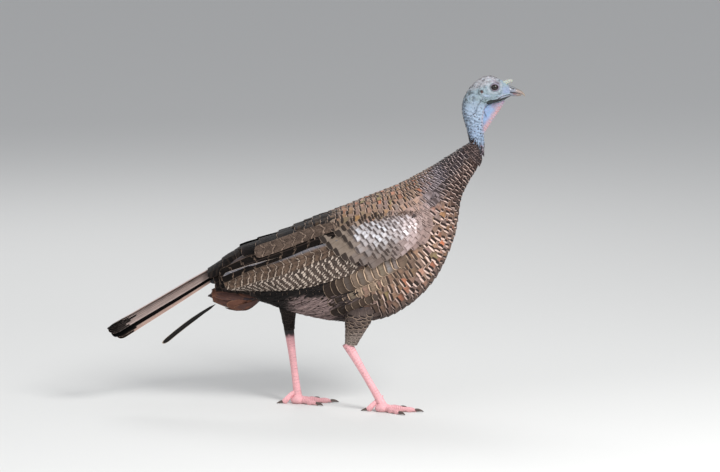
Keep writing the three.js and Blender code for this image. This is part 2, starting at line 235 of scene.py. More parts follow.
def noise(points, size, seed=0):
    """Smooth noise from -1 to 1: random values at the corners of cubes of the given size, blended."""
    p = np.asarray(points, float) / size + 37.3 * seed
    cell = np.floor(p).astype(np.int64)
    f = p - cell
    f = f * f * (3 - 2 * f)
    total = 0.0
    for corner in range(8):
        step = np.array([(corner >> k) & 1 for k in range(3)])
        h = ((cell + step) * np.array([73856093, 19349663, 83492791])).sum(-1) + 9176 * seed
        h = (h ^ (h >> 13)) * 1274126177 & 0x7FFFFFFF
        h = ((h ^ (h >> 15)) & 0xFFFF) / 32767.5 - 1
        total = total + h * np.prod(np.where(step, f, 1 - f), axis=-1)
    return total


def fractal(points, size, layers=3, seed=0):
    """Noise plus ever finer noise, each layer half as large and half as strong."""
    return sum(noise(points, size / 2**k, seed + k) / 2**k for k in range(layers)) / 1.6


def oval(turn):
    """Rise and reach of a rounded square at a turn: the signed cosine and sine, each raised to
    2 / OVAL."""
    circle = np.array([np.cos(2 * np.pi * turn), np.sin(2 * np.pi * turn)])
    return np.sign(circle) * abs(circle) ** (2 / OVAL)


def filled(rib):
    """A rib with its widest level and its middle's y, 0.5 and 0 where they aren't given."""
    return [*rib, *(0.5, 0.0)[len(rib) - 5:]]


class Loft:
    """A tube through oval ribs. At a share t its section has a top, a bottom, a half width and a
    widest level; a turn a from the top gives rise |cos a|^(2/n) and reach |sin a|^(2/n)."""

    def __init__(self, ribs):
        r = np.array([filled(rib) for rib in ribs], float) * MM
        self.top, self.bottom = curve_through(r[:, 0:2]), curve_through(r[:, 2:4])
        self.rest = spline(np.column_stack([r[:, 4], r[:, 5] / MM, r[:, 6]]))

    def section(self, t):
        rest = evaluate(self.rest, t)
        return evaluate(self.top, t), evaluate(self.bottom, t), rest[..., 0], rest[..., 1], rest[..., 2]

    def around(self, t, turn):
        """Points at share t and turn (0 top, a quarter is the left side, a half the bottom)."""
        top, bottom, half, widest, middle = self.section(t)
        rise, reach = oval(turn)
        down = np.where(rise > 0, widest * (1 - rise), widest - (1 - widest) * rise)
        xz = top + (bottom - top) * down[..., None]
        return stack(xz[..., 0], middle + half * reach, xz[..., 1])


class Sheet:
    """A surface kept as a grid of points and asked for at any two shares from 0 to 1."""

    def __init__(self, points, closed=False, outward=1):
        self.points, self.closed = points, closed
        self.by_t = np.gradient(points, axis=0) * (points.shape[0] - 1)
        wide = points
        if closed:
            wide = join([points[:, -2:-1], points, points[:, 1:2]], axis=1)
        self.by_g = np.gradient(wide, axis=1) * (points.shape[1] - 1)
        self.by_g = self.by_g[:, 1:-1] if closed else self.by_g
        self.normal = outward * unit(np.cross(self.by_t, self.by_g))

    def nearest(self, x, z):
        """Shares t and g of the places on the right-hand half nearest to (x, z) in the side view."""
        t, g = net(np.linspace(0, 1, 201), np.linspace(0, 0.5, 151))
        points = self.pick(self.points, t, g).reshape(-1, 3) / MM
        near = (points[:, :1] - x) ** 2 + (points[:, 2:] - z) ** 2
        best = near.argmin(0)
        return t.ravel()[best], g.ravel()[best]

    def pace(self, way, t, g):
        """Metres for each unit of t (way 0) or g (way 1) at places on the sheet."""
        return norm(self.pick((self.by_t, self.by_g)[way], t, g), axis=1)

    def pick(self, grid, t, g):
        """The grid's value at shares t and g, blended from the four corners of the cell."""
        rows, columns = grid.shape[0] - 1, grid.shape[1] - 1
        g = g % 1 if self.closed else np.clip(g, 0, 1)
        t = np.clip(t, 0, 1) * rows
        g = g * columns
        i, j = np.minimum(t.astype(int), rows - 1), np.minimum(g.astype(int), columns - 1)
        a, b = (t - i)[..., None], (g - j)[..., None]
        low = grid[i, j] * (1 - b) + grid[i, j + 1] * b
        high = grid[i + 1, j] * (1 - b) + grid[i + 1, j + 1] * b
        return low * (1 - a) + high * a


def girth_sheet(loft, rows=140, columns=240, outward=1):
    """The loft as a sheet whose second share is the way round by length, from the bottom up the
    right side (0 to 0.5, the top) and down the left."""
    t = np.linspace(0, 1, rows + 1)[:, None]
    turn = np.linspace(-0.5, 0.5, 1441)[None, :]
    ring = loft.around(*np.broadcast_arrays(t, turn))
    length = np.cumsum(norm(np.diff(ring, axis=1), axis=2), axis=1)
    share = join([np.zeros((rows + 1, 1)), length / length[:, -1:]], axis=1)
    row = np.arange(rows + 1)[:, None]
    even = np.linspace(0, 1, columns + 1)[None, :]
    shrink = 1 - 1e-7
    turns = np.interp((even * shrink + row).ravel(), (share * shrink + row).ravel(),
        np.broadcast_to(turn, share.shape).ravel()).reshape(rows + 1, columns + 1)
    return Sheet(loft.around(np.broadcast_to(t, turns.shape), turns), closed=True, outward=outward)


def wing_sheet(side, columns=60, rows=120):
    """The folded wing's outer face: over a stretch of the body's ribs, from its tip to the
    shoulder and from its upper edge to its lower; its half width grows from the body's to its
    own away from its upper edge and shoulder, and all of it is lifted a little."""
    l, w = net(np.linspace(0, 1, rows + 1), np.linspace(0, 1, columns + 1))
    corner = WING["rounding"] * (2 * w - 1) ** 4 * l**6
    top, bottom, half, widest, _ = BODY.section(mix(*WING["stretch"], l - corner))
    down = mix(along(WING["upper"], l), along(WING["lower"], l), w)
    level = abs(down - widest) / np.where(down < widest, widest, 1 - widest)
    reach = (1 - level**OVAL) ** (1 / OVAL)
    rise = np.minimum(1, w / 0.35) * np.minimum(1, (1 - l) / 0.18)
    half = mix(half, along(WING["half"], l) * MM, np.sin(rise * np.pi / 2))
    xz = top + (bottom - top) * down[..., None]
    point = stack(xz[..., 0], side * half * reach, xz[..., 1])
    core = top + (bottom - top) * widest[..., None]
    core = stack(core[..., 0], 0 * half, core[..., 1])
    point = point + unit(point - core) * WING["lift"] * MM
    return Sheet(point, outward=side)


def tail_sheet(rows=60, columns=60, reach=(-0.12, 1.0)):
    """The closed tail's upper face: straight from root to tip, its half width given along it and
    its height the ridge less drop times the square of the way out to either side."""
    t, g = net(np.linspace(0, 1, rows + 1), np.linspace(0, 1, columns + 1))
    root, tip = np.array(TAIL["root"]) * MM, np.array(TAIL["tip"]) * MM
    run = tip - root
    up = np.array([run[1], -run[0]]) / np.hypot(*run)
    s, v = mix(*reach, t), 2 * g - 1
    xz = root + run * s[..., None] + up * ((TAIL["ridge"] - TAIL["drop"] * v**2) * MM)[..., None]
    y = v * along(TAIL["half"], np.clip(s, 0, 1)) * MM
    return Sheet(stack(xz[..., 0], y, xz[..., 1]), outward=-1)


def loose_sheet():
    """The plane of the loose tail feather, rolled about its own length; its edges sink a little."""
    t, g = net(np.linspace(0, 1, 31), np.linspace(0, 1, 21))
    root, tip = (np.array(LOOSE_FEATHER[key]) * MM for key in ("root", "tip"))
    run = tip - root
    flat = unit(np.cross(run, (0, 0, 1)))
    roll = math.radians(LOOSE_FEATHER["roll"])
    sideways = flat * math.cos(roll) + np.cross(unit(run), flat) * math.sin(roll)
    up = unit(np.cross(sideways, run))
    v = 2 * g[..., None] - 1
    bow = 3 * MM * np.sin(t[..., None] * np.pi)
    point = root + run * t[..., None] + sideways * v * 20 * MM + up * (bow - 1.2 * MM * v**2 - MM)
    return Sheet(point, outward=1 if np.cross(run, sideways) @ up > 0 else -1)


RUMP_RIBS = [
    (-66, 319.5, -42, 177, 64.5, 0.46),
    (-140, 291.5, -108, 199, 45.5, 0.48),
    (-196, 252, -188, 212, 31.5),
    (-234, 232, -226, 200, 28.5),
    (-275, 207, -268, 182, 30),
]
BODY, HEAD, VENT = Loft(BODY_RIBS), Loft(HEAD_RIBS), Loft(VENT_RIBS)
THIGHS = {name: Loft(ribs) for name, ribs in THIGH_RIBS.items()}
BODY_SHEET, HEAD_SHEET = girth_sheet(BODY), girth_sheet(HEAD, 160, 120)
WING_SHEETS = {name: wing_sheet(side) for name, side in SIDES.items()}


# ---- Meshes ----


def tube_faces(count, around):
    """Faces of a tube of rings whose ends are closed by a point each, after the rings' points."""
    r, k = net(np.arange(count - 1), np.arange(around))
    a, b = r * around + k, r * around + (k + 1) % around
    quads = stack(a, a + around, b + around, b).reshape(-1, 4)
    k, n = np.arange(around), np.roll(np.arange(around), -1)
    end, last = count * around, (count - 1) * around
    tris = np.stack([[k * 0 + end, k, n], [last + k, k * 0 + end + 1, last + n]])
    return tris.transpose(0, 2, 1).reshape(-1, 3), quads


def outward(points, tris, quads):
    """The same faces, all turned round if the shape they close has a negative volume."""
    volume = 0.0
    for corners in (tris, quads[:, :3], quads[:, [0, 2, 3]]):
        a, b, c = (points[corners[:, k]] for k in range(3))
        volume += np.einsum("ij,ij->", a, np.cross(b, c))
    return (tris, quads) if volume > 0 else (tris[:, ::-1], quads[:, ::-1])


class Parts:
    """Closed shapes gathered into one mesh, with values at their points and corners."""

    def __init__(self):
        self.points, self.tris, self.quads, self.values = [], [], [], {}
        self.count = 0

    def add(self, points, tris, quads, **values):
        self.points.append(points)
        self.tris.append(tris + self.count)
        self.quads.append(quads + self.count)
        for key, value in values.items():
            self.values.setdefault(key, []).append(value)
        self.count += len(points)

    def tube(self, rings, **values):
        points = join([rings.reshape(-1, 3), rings[:1].mean(1), rings[-1:].mean(1)])
        tris, quads = outward(points, *tube_faces(*rings.shape[:2]))
        given = {}
        for key, value in values.items():
            flat = value.reshape(-1, value.shape[-1])
            given[key] = join([flat, value[0].mean(0)[None], value[-1].mean(0)[None]])
        self.add(points, tris, quads, **given)

    def ring_tube(self, rings, **values):
        """A tube whose last ring joins its first."""
        count, around = rings.shape[:2]
        r, k = net(np.arange(count), np.arange(around))
        a, n = r * around + k, (k + 1) % around
        b, after = r * around + n, (r + 1) % count * around
        quads = stack(a, after + k, after + n, b).reshape(-1, 4)
        points = rings.reshape(-1, 3)
        tris, quads = outward(points, np.zeros((0, 3), int), quads)
        self.add(points, tris, quads, **{key: v.reshape(-1, v.shape[-1]) for key, v in values.items()})

    def piece(self, name, material, slot, *nodes, uv=None, sharp=None):
        """The gathered shapes as a Blender object that stands for CAD nodes."""
        points = join(self.points)
        tris, quads = join(self.tris), join(self.quads)
        mesh = bpy.data.meshes.new(name)
        mesh.vertices.add(len(points))
        mesh.vertices.foreach_set("co", points.astype(np.float32).ravel())
        corners = join([tris.ravel(), quads.ravel()])
        sizes = join([np.full(len(tris), 3), np.full(len(quads), 4)])
        mesh.loops.add(len(corners))
        mesh.loops.foreach_set("vertex_index", corners.astype(np.int32))
        mesh.polygons.add(len(sizes))
        starts = join([[0], np.cumsum(sizes)[:-1]])
        mesh.polygons.foreach_set("loop_start", starts.astype(np.int32))
        mesh.polygons.foreach_set("use_smooth", np.ones(len(sizes), bool))
        mesh.update(calc_edges=True)
        for key, value in self.values.items():
            value = join(value).astype(np.float32)
            kind = "FLOAT_VECTOR" if value.shape[1] == 3 else "FLOAT_COLOR"
            layer = mesh.attributes.new(key, kind, "POINT")
            layer.data.foreach_set("vector" if value.shape[1] == 3 else "color", value.ravel())
        if uv is not None:
            layer = mesh.uv_layers.new(name="OFBake")
            layer.data.foreach_set("uv", uv.astype(np.float32).ravel())
        if sharp is not None:
            ends = np.zeros(len(mesh.edges) * 2, np.int32)
            mesh.edges.foreach_get("vertices", ends)
            mark = sharp[ends.reshape(-1, 2)].all(axis=1)
            layer = mesh.attributes.new("sharp_edge", "BOOLEAN", "EDGE")
            layer.data.foreach_set("value", mark)
        mesh.materials.append(material)
        mesh.validate()
        obj = bpy.data.objects.new(name, mesh)
        bpy.context.scene.collection.objects.link(obj)
        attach(obj, "root")
        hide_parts(*nodes)


# ---- Feathers ----

SQUARENESS = 2.5  # power of the rounded end of a vane
FILL = 0.88  # how much of its own cell a feather's patch fills
RING = np.array([-1, -0.45, 0.45, 1, 0.45, -0.45])  # places across a vane, over its top and back
WIDE_RING = np.array([-1, -0.72, -0.3, 0, 0.3, 0.72, 1, 0.6, 0, -0.6])


def end_shape(y, k):
    """Half width, as a share, at y half widths from a vane's end whose rounding is k long."""
    inner = np.clip((k - y) / k, 0, 1)
    return (1 - inner**SQUARENESS) ** (1 / SQUARENESS)


class Vanes:
    """Feathers as thin closed vanes. Each follows a path over a sheet from its root to its tip;
    a point at a share s of the path and a share c across lies at path(s) + c * width(s) across,
    raised by height(s) and lowered towards both edges by camber * c^2. Its outline is straight
    up to the end, which is a superellipse."""

    def __init__(self, ring=RING, body=(0.0, 0.15, 0.45, 0.7)):
        self.ring, self.body = ring, body
        self.parts, self.uv_tris, self.uv_quads = Parts(), [], []
        self.rims = []

    def add(self, sheet, root, tip, half, look, patch, *, k=0.6, bury=4.5, lift=0.0, camber=0.05,
            thick=0.35, twist=0.0, base=0.45, bend=0.0, seed=1, power=1.5):
        """root, tip: shares on the sheet; half: half widths in metres; patch: (u, v, du, dv)."""
        n = len(root)
        rng = dice(seed)
        full = lambda value: np.broadcast_to(np.asarray(value, float), (n,))
        k, bury, lift, bend = full(k), full(bury), full(lift), full(bend)
        coarse = np.linspace(0, 1, 9)
        line = sheet.pick(sheet.points, *np.moveaxis(root[:, None]
            + (tip - root)[:, None] * coarse[None, :, None], -1, 0))
        length = norm(np.diff(line, axis=1), axis=2).sum(1)
        length = np.maximum(length, 1e-5)
        ratio = half / length  # one half width as a share of the length
        near = 1 - np.outer(ratio * k, [1.1, 0.6, 0.25, 0.06])
        far = np.outer(np.maximum(near[:, 0], 0.3), self.body[1:]) / 0.82
        s = join([np.zeros((n, 1)), far, near, np.ones((n, 1))], axis=1)
        s = np.maximum.accumulate(s, axis=1)
        where = root[:, None] + (tip - root)[:, None] * s[..., None]
        place = sheet.pick(sheet.points, where[..., 0], where[..., 1])
        up = unit(sheet.pick(sheet.normal, where[..., 0], where[..., 1]))
        ahead = unit(np.gradient(place, axis=1))
        across = unit(np.cross(up, ahead))
        y = (1 - s) / ratio[:, None]
        width = end_shape(y, k[:, None]) * mix(base, 1, smooth(0, 0.55, s))
        width[:, 0] = width[:, -1] = 0
        height = (lift[:, None] - bury[:, None] * (1 - s) ** power) * MM
        c, x = self.ring[None, None], self.ring[None, None] * width[..., None]
        sink = camber * half[:, None, None] * x**2 * 4
        under = np.arange(len(self.ring)) > np.argmax(self.ring)
        sink = sink + under * thick * MM * np.minimum(width[..., None] * 3, 1)
        shift = bend[:, None] * length[:, None] * s**2
        turn = (full(twist) * half)[:, None, None] * x
        points = (place[:, :, None] + across[:, :, None] * (x * half[:, None, None] + shift[..., None])[...,
            None] + up[:, :, None] * (height[..., None] - sink + turn)[..., None])
        rings = points[:, 1:-1]
        m, around = rings.shape[1:3]
        verts = join([rings.reshape(n, -1, 3), points[:, :1].mean(2), points[:, -1:].mean(2)], axis=1)
        seeds = rng.random(n)
        vane = np.stack(np.broadcast_arrays(x, y[..., None], seeds[:, None, None]), -1)
        vane = join([vane[:, 1:-1].reshape(n, -1, 3), vane[:, :1].mean(2), vane[:, -1:].mean(2)], axis=1)
        per = m * around + 2
        (tris, quads), (uv_t, uv_q) = tube_faces(m, around), self.corners(s)
        first = (np.arange(n) * per)[:, None, None]
        spread = lambda value: np.repeat(value, per, axis=0)
        fourth = {"ground": look["extra"][:, 1:], "fringe": look["extra"][:, :1], "glow": np.ones((n, 1))}
        colours = {key: spread(join([look[key], fourth[key]], axis=1))
            for key in ("ground", "glow", "fringe")}
        size = stack(half / MM, k, length / MM)
        self.parts.add(verts.reshape(-1, 3), (tris + first).reshape(-1, 3), (quads + first).reshape(-1, 4),
            vane=vane.reshape(-1, 3), span=spread(size), **colours, marks=spread(look["marks"]),
            grain=spread(look["grain"]))
        rim = np.tile(abs(self.ring) == 1, m)
        self.rims.append(np.tile(join([rim, [True, True]]), n))
        corner, size = patch[:, None, None, :2], patch[:, None, None, 2:]
        self.uv_tris.append((uv_t * size + corner).reshape(-1, 2))
        self.uv_quads.append((uv_q * size + corner).reshape(-1, 2))

    def corners(self, s):
        """The corners of each vane's faces on a unit patch: way round by way along."""
        seam = np.argmax(self.ring)
        u = join([(self.ring[: seam + 1] + 1) * 0.36, 0.74 + (1 - self.ring[seam + 1:]) * 0.13, [1.0]])
        n = len(s)
        v = s[:, 1:-1]
        put = lambda uu, vv: np.stack(np.broadcast_arrays(uu, vv), -1)
        lo, hi = u[:-1][None, None], u[1:][None, None]
        uv_q = np.stack([put(lo, v[:, :-1, None]), put(lo, v[:, 1:, None]), put(hi, v[:, 1:, None]),
            put(hi, v[:, :-1, None])], 3)
        lo, hi = lo[:, 0], hi[:, 0]
        mid, first, final = (lo + hi) / 2, v[:, :1], v[:, -1:]
        uv_root = np.stack([put(mid, 0 * first), put(lo, first), put(hi, first)], 2)
        uv_tip = np.stack([put(lo, final), put(mid, 0 * final + 1), put(hi, final)], 2)
        return join([uv_root, uv_tip], 1), uv_q.reshape(n, -1, 4, 2)

    def cover(self, sheet, t, g, dt, dg, reach, drift, breadth, look, *, end=9, **shape):
        """Feathers at the places of a lattice: each runs on along t by a reach in metres, drifts
        by a share of g, and is breadth steps of the lattice wide on either side of its shaft."""
        tip = stack(np.minimum(t + reach / sheet.pace(0, t, g), end), g + drift)
        self.add(sheet, stack(t, g), tip, breadth * dg * sheet.pace(1, t, g), look, patches(g, t, dg, dt),
            **shape)

    def piece(self, name, material, slot, *nodes):
        uv = join(self.uv_tris + self.uv_quads)
        return self.parts.piece(name, material, slot, *nodes, uv=uv, sharp=join(self.rims))


def lattice(sheet, rows, spacing, bounds=(0.0, 1.0)):
    """Staggered places on a sheet: on each row t the way across is cut into equal shares of
    the sum of 1 / spacing(t, g), every other row half a step on. Returns t, g and the steps
    in t and g."""
    g = np.linspace(*bounds, 401)
    out, gaps = [], abs(np.gradient(rows))
    for number, t in enumerate(rows):
        line = sheet.pick(sheet.points, np.full_like(g, t), g)
        run = norm(np.diff(line, axis=0), axis=1)
        mid = (g[1:] + g[:-1]) / 2
        total = join([[0], np.cumsum(run / (spacing(t, mid) * MM))])
        count = max(int(round(total[-1])), 1)
        want = (np.arange(count) + (0.25 if number % 2 else 0.75)) / count
        places = np.interp(want * total[-1], total, g)
        slope = np.interp(places, mid, np.gradient(total)[:-1] / (g[1] - g[0]))
        step = total[-1] / count / slope
        out.append(stack(np.full(count, t), places, np.full(count, gaps[number]), step))
    return join(out).T


def rows_between(sheet, start, end, exposure, g=0.25):
    """Values of t so that neighbouring rows lie exposure(t) millimetres apart at way round g."""
    t = np.linspace(min(start, end), max(start, end), 400)
    line = sheet.pick(sheet.points, t, np.full_like(t, g))
    run = norm(np.diff(line, axis=0), axis=1)
    total = join([[0], np.cumsum(run / (exposure((t[1:] + t[:-1]) / 2) * MM))])
    return np.interp(np.arange(0.3, total[-1]), total, t)


def patches(g, t, dg, dt):
    """A patch for each feather where its root lies on the unwrapped sheet, moved and scaled
    together so that they just fill the unit square."""
    size = stack(dg, dt) * FILL
    corner = np.clip(stack(g, t) - size / 2, 0, 1 - size)
    return stretched(join([corner, size], axis=1))


# ---- Node materials ----


class Value:
    """A socket of a node tree on which arithmetic adds Math nodes."""

    def __init__(self, tree, socket):
        self.tree, self.socket = tree, socket

    def math(self, operation, *others, clamp=False):
        node = self.tree.nodes.new("ShaderNodeMath")
        node.operation, node.use_clamp = operation, clamp
        for slot, value in zip(node.inputs, (self, *others)):
            put(self.tree, slot, value)
        return Value(self.tree, node.outputs[0])

    def flipped(self, operation, other):
        node = self.tree.nodes.new("ShaderNodeMath")
        node.operation = operation
        node.inputs[0].default_value = other
        put(self.tree, node.inputs[1], self)
        return Value(self.tree, node.outputs[0])

    def __add__(self, other): return self.math("ADD", other)
    def __sub__(self, other): return self.math("SUBTRACT", other)
    def __mul__(self, other): return self.math("MULTIPLY", other)
    def __truediv__(self, other): return self.math("DIVIDE", other)
    def __pow__(self, other): return self.math("POWER", other)
    def __radd__(self, other): return self.flipped("ADD", other)
    def __rsub__(self, other): return self.flipped("SUBTRACT", other)
    def __rmul__(self, other): return self.flipped("MULTIPLY", other)
    def __rtruediv__(self, other): return self.flipped("DIVIDE", other)
    def abs(self): return self.math("ABSOLUTE")
    def sin(self): return self.math("SINE")
    def frac(self): return self.math("FRACT")
    def max(self, other): return self.math("MAXIMUM", other)
    def clamp(self): return self.math("ADD", 0.0, clamp=True)

    def step(self, low, high):
        """0 below low, 1 above high, S-shaped between; low above high turns it round."""
        node = self.tree.nodes.new("ShaderNodeMapRange")
        node.interpolation_type = "SMOOTHSTEP"
        swap = not isinstance(low, Value) and not isinstance(high, Value) and low > high
        ends = (high, low, 1.0, 0.0) if swap else (low, high, 0.0, 1.0)
        for slot, value in zip(node.inputs, (self, *ends)):
            put(self.tree, slot, value)
        return Value(self.tree, node.outputs[0])


def put(tree, slot, value):
    """Links a socket, or sets a plain value, on an input."""
    if isinstance(value, Value):
        tree.links.new(value.socket, slot)
    else:
        slot.default_value = value


class Finish:
    """A material being put together from nodes."""

    def __init__(self, name, **constants):
        self.material = bpy.data.materials.new(name)
        self.material.use_nodes = True
        self.tree = self.material.node_tree
        self.shader = self.tree.nodes["Principled BSDF"]
        for key, value in constants.items():
            self.shader.inputs[key.replace("_", " ")].default_value = value

    def node(self, kind, output=0, settings=None, **inputs):
        """Adds a node, sets its settings first and then its inputs, by name or number."""
        node = self.tree.nodes.new(kind)
        for key, value in (settings or {}).items():
            setattr(node, key, value)
        for key, value in inputs.items():
            slot = node.inputs[int(key[1:])] if key[0] == "i" and key[1:].isdigit() else node.inputs[key]
            put(self.tree, slot, value)
        return Value(self.tree, node.outputs[output])

    def place(self):
        """Object coordinates in metres."""
        return self.node("ShaderNodeTexCoord", "Object")

    def attribute(self, name, output="Vector"):
        return self.node("ShaderNodeAttribute", output, {"attribute_name": name})

    def split(self, vector):
        node = self.tree.nodes.new("ShaderNodeSeparateXYZ")
        put(self.tree, node.inputs[0], vector)
        return tuple(Value(self.tree, out) for out in node.outputs)

    def join(self, x=0.0, y=0.0, z=0.0):
        return self.node("ShaderNodeCombineXYZ", X=x, Y=y, Z=z)

    def scale(self, vector, by):
        node = self.tree.nodes.new("ShaderNodeVectorMath")
        node.operation = "MULTIPLY"
        put(self.tree, node.inputs[0], vector)
        put(self.tree, node.inputs[1], by)
        return Value(self.tree, node.outputs[0])

    def noise(self, vector, scale, detail=2.0, roughness=0.5):
        return self.node("ShaderNodeTexNoise", "Fac", None, Vector=vector, Scale=scale, Detail=detail,
            Roughness=roughness)

    def cells(self, vector, scale, feature="F1"):
        return self.node("ShaderNodeTexVoronoi", "Distance", {"feature": feature}, Vector=vector,
            Scale=scale)

    def blend(self, share, first, second, mode="MIX"):
        """Colours mixed by a share."""
        return self.node("ShaderNodeMix", 2, {"data_type": "RGBA", "blend_type": mode}, i0=share, i6=first,
            i7=second)

    def tint(self, share, colour, by):
        """A colour moved by a share towards itself times another."""
        return self.blend(share, colour, self.blend(1.0, colour, (*by, 1), "MULTIPLY"))

    def bump(self, height, distance, strength):
        return self.node("ShaderNodeBump", Height=height, Distance=distance, Strength=strength)

    def set(self, **inputs):
        for key, value in inputs.items():
            put(self.tree, self.shader.inputs[key.replace("_", " ")], value)
        return self.material


def linear(colour):
    """Colour from screen values to light values."""
    c = np.asarray(colour, float)
    return np.where(c <= 0.04045, c / 12.92, ((c + 0.055) / 1.055) ** 2.4)


def rgba(colour):
    return (*linear(colour), 1.0)


def feather_finish(name, roughness=0.55):
    """Feathers: a ground colour, a painted iridescent sheen patch, a dark bar cut square before a pale
    fringe that follows the outline, cross bars and fine mottling, a shaft, and slanting barbs in relief."""
    m = Finish(name, Specular_IOR_Level=0.07)
    x, y, seed = m.split(m.attribute("vane"))
    half, k, _ = m.split(m.attribute("span"))
    bar, edge, glowing = m.split(m.attribute("marks"))
    barring, mottle, sheen = m.split(m.attribute("grain"))
    ground, glow = m.attribute("ground", "Color"), m.attribute("glow", "Color")
    fringe = m.attribute("fringe", "Color")
    side = x.abs()
    across, down = side * half, y * half  # millimetres from the shaft and from the tip
    inner = ((k - y) / k).clamp()
    rim = (side.clamp() ** SQUARENESS + inner**SQUARENESS) ** (1 / SQUARENESS)
    grainy = m.noise(m.join(across * 0.35, (down + across * 0.7) * 1.6, seed * 60), 1.0, 2)
    patchy = m.noise(m.join(x * 1.3, down * 0.12, seed * 90), 1.0, 2)
    inside = (1 - rim) * half + (grainy - 0.5) * 0.7  # millimetres in from the outline
    edging = 1 - (inside - edge * (0.2 + inner.step(0.1, 0.7) * 0.8) * (0.5 + patchy)).step(-0.35, 0.35)
    lengthwise = down + side * side * half * 0.12 + (patchy - 0.5) * 2.0
    edging = edging.max(1 - (lengthwise - edge).step(-0.35, 0.35))
    dark = (1 - (lengthwise - (edge + bar)).step(-0.6, 0.6)) * (bar * 2).clamp()
    beyond = lengthwise - (edge + bar)
    # Painted sheen: the glow colour is laid over a band behind the bar.
    lit = (1 - (beyond - 7.0).step(-4.0, 6.0)) * beyond.step(-0.3, 0.8) * glowing
    lit = lit * (patchy * 1.6 - 0.1).clamp() * (1 - (side - 0.6).step(0.0, 0.35) * 0.7)
    wave = ((down + across * 0.35 + patchy * 6.0 + seed * 9) * 0.55).sin()
    bands = (wave + (grainy - 0.5) * 1.3).step(0.1, 0.6) * barring
    specks = m.noise(m.join(x * half * 0.8, down * 1.1, seed * 40), 1.0, 2).step(0.52, 0.66) * mottle
    colour = m.tint(patchy.step(0.25, 0.8) * 0.35, ground, (0.45, 0.42, 0.42))
    colour = m.tint(grainy.step(0.3, 0.75) * 0.3, colour, (1.5, 1.45, 1.4))
    colour = m.blend(lit, colour, glow)
    colour = m.blend((bands.max(specks)).clamp() * (1 - dark * 0.6), colour, fringe)
    colour = m.blend(dark * m.attribute("fringe", "Alpha"), colour, (0.012, 0.009, 0.009, 1))
    colour = m.blend(edging * edge.step(0.05, 0.3) * (0.75 + grainy * 0.4).clamp(), colour, fringe)
    shaft = (1 - across.step(0.25, 0.6)) * down.step(0.5, 3.0)
    colour = m.blend(shaft * 0.3, colour, (0.02, 0.015, 0.013, 1))
    barbs = ((down + across * 0.8) * 5.2).sin() * 0.5 + grainy * 1.6
    relief = barbs * 0.12 + shaft * 0.6 - edging * 0.2
    return m.set(Base_Color=colour, Metallic=(lit * 0.35 + sheen * 0.35 * (1 - dark)).clamp(),
        Roughness=(roughness + (grainy - 0.5) * 0.25 - lit * 0.1 - sheen * 0.12).clamp(),
        Normal=m.bump(relief, 0.0005, 0.7))


def flight_finish(name):
    """Flight feathers: cross bars whose period and pale share are given, wider and paler towards
    the edge that shows, broken by mottling, with a dark band before the tip and a thick shaft."""
    m = Finish(name, Specular_IOR_Level=0.05)
    x, y, seed = m.split(m.attribute("vane"))
    half, k, _ = m.split(m.attribute("span"))
    bar, edge, showing = m.split(m.attribute("marks"))
    period, pale, mottle = m.split(m.attribute("grain"))
    ground, light = m.attribute("ground", "Color"), m.attribute("fringe", "Color")
    night = m.attribute("glow", "Color")
    side = x * showing  # from -1 at the hidden edge to 1 at the edge that shows
    across, down = x.abs() * half, y * half
    inner = ((k - y) / k).clamp()
    rim = (x.abs().clamp() ** SQUARENESS + inner**SQUARENESS) ** (1 / SQUARENESS)
    fine = m.noise(m.join(x * half * 0.5, (down + across * 0.6) * 1.4, seed * 60), 1.0, 2)
    broad = m.noise(m.join(x * 2.2, down * 0.09, seed * 90), 1.0, 2)
    wobble = m.noise(m.join(x * 3.0, down * 0.22, seed * 30), 1.0, 1)
    phase = ((down + across * 0.55) / period + wobble * 0.6 + seed * 0.4).frac()
    width = (pale * (0.45 + side * 0.55).max(0.25) + (broad - 0.5) * 0.25).clamp()
    ripple = (phase - 0.5).abs() * 2  # 0 in the middle of a bar
    bars = 1 - (ripple - width + (fine - 0.5) * 0.35).step(-0.12, 0.12)
    rims = (ripple - width - 0.22).abs()
    shade = 1 - rims.step(0.0, 0.2)
    specks = m.noise(m.join(x * half * 0.9, down * 1.3, seed * 20), 1.0, 2).step(0.5, 0.62) * mottle
    tip = 1 - (down - edge - bar + (fine - 0.5) * 3).step(-1.5, 1.5)
    tip = tip * (bar * 2).clamp()
    margin = 1 - ((1 - rim) * half - edge + (fine - 0.5) * 0.5).step(-0.35, 0.35)
    shaft = 1 - across.step(0.5, 0.9)
    colour = m.blend(broad.step(0.35, 0.65) * (0.7 - (bar * 0.1).clamp() * 0.55), ground, night)
    colour = m.tint(fine.step(0.3, 0.75) * 0.25, colour, (1.45, 1.4, 1.35))
    colour = m.blend(shade * 0.85 * pale.step(0.0, 0.1), colour, night)
    colour = m.blend((bars * pale.step(0.0, 0.1)).max(specks), colour, light)
    colour = m.blend(tip * 0.98, colour, night)
    # Painted sheen: blue-grey over the hidden edge, where the ground colour's alpha asks for it.
    colour = m.blend((0 - side).step(0.35, 0.75) * m.attribute("ground", "Alpha"), colour,
        rgba((0.50, 0.54, 0.60)))
    colour = m.blend(margin * edge.step(0.05, 0.3), colour, light)
    colour = m.blend(shaft * 0.55, colour, (0.05, 0.035, 0.03, 1))
    barbs = ((down + across * 0.8) * 4.6).sin() * 0.5 + fine * 1.5
    return m.set(Base_Color=colour, Roughness=(0.62 + (fine - 0.5) * 0.25 + bars * 0.1).clamp(),
        Normal=m.bump(barbs * 0.12 + shaft * 1.2, 0.0005, 0.7))


def down_finish():
    """Loose hair-like plumes: streaks along each plume between a dark and a pale colour."""
    m = Finish("down_plumage", Roughness=0.8, Specular_IOR_Level=0.2)
    x, y, seed = m.split(m.attribute("vane"))
    streak = m.noise(m.join(x * 2.0, y * 0.12, seed * 70), 1.0, 2)
    colour = m.blend(streak.step(0.35, 0.7), m.attribute("ground", "Color"), m.attribute("fringe", "Color"))
    colour = m.blend((seed * 3.7).frac() * 0.6, colour, m.attribute("glow", "Color"))
    return m.set(Base_Color=colour, Normal=m.bump(streak, 0.0003, 0.5))


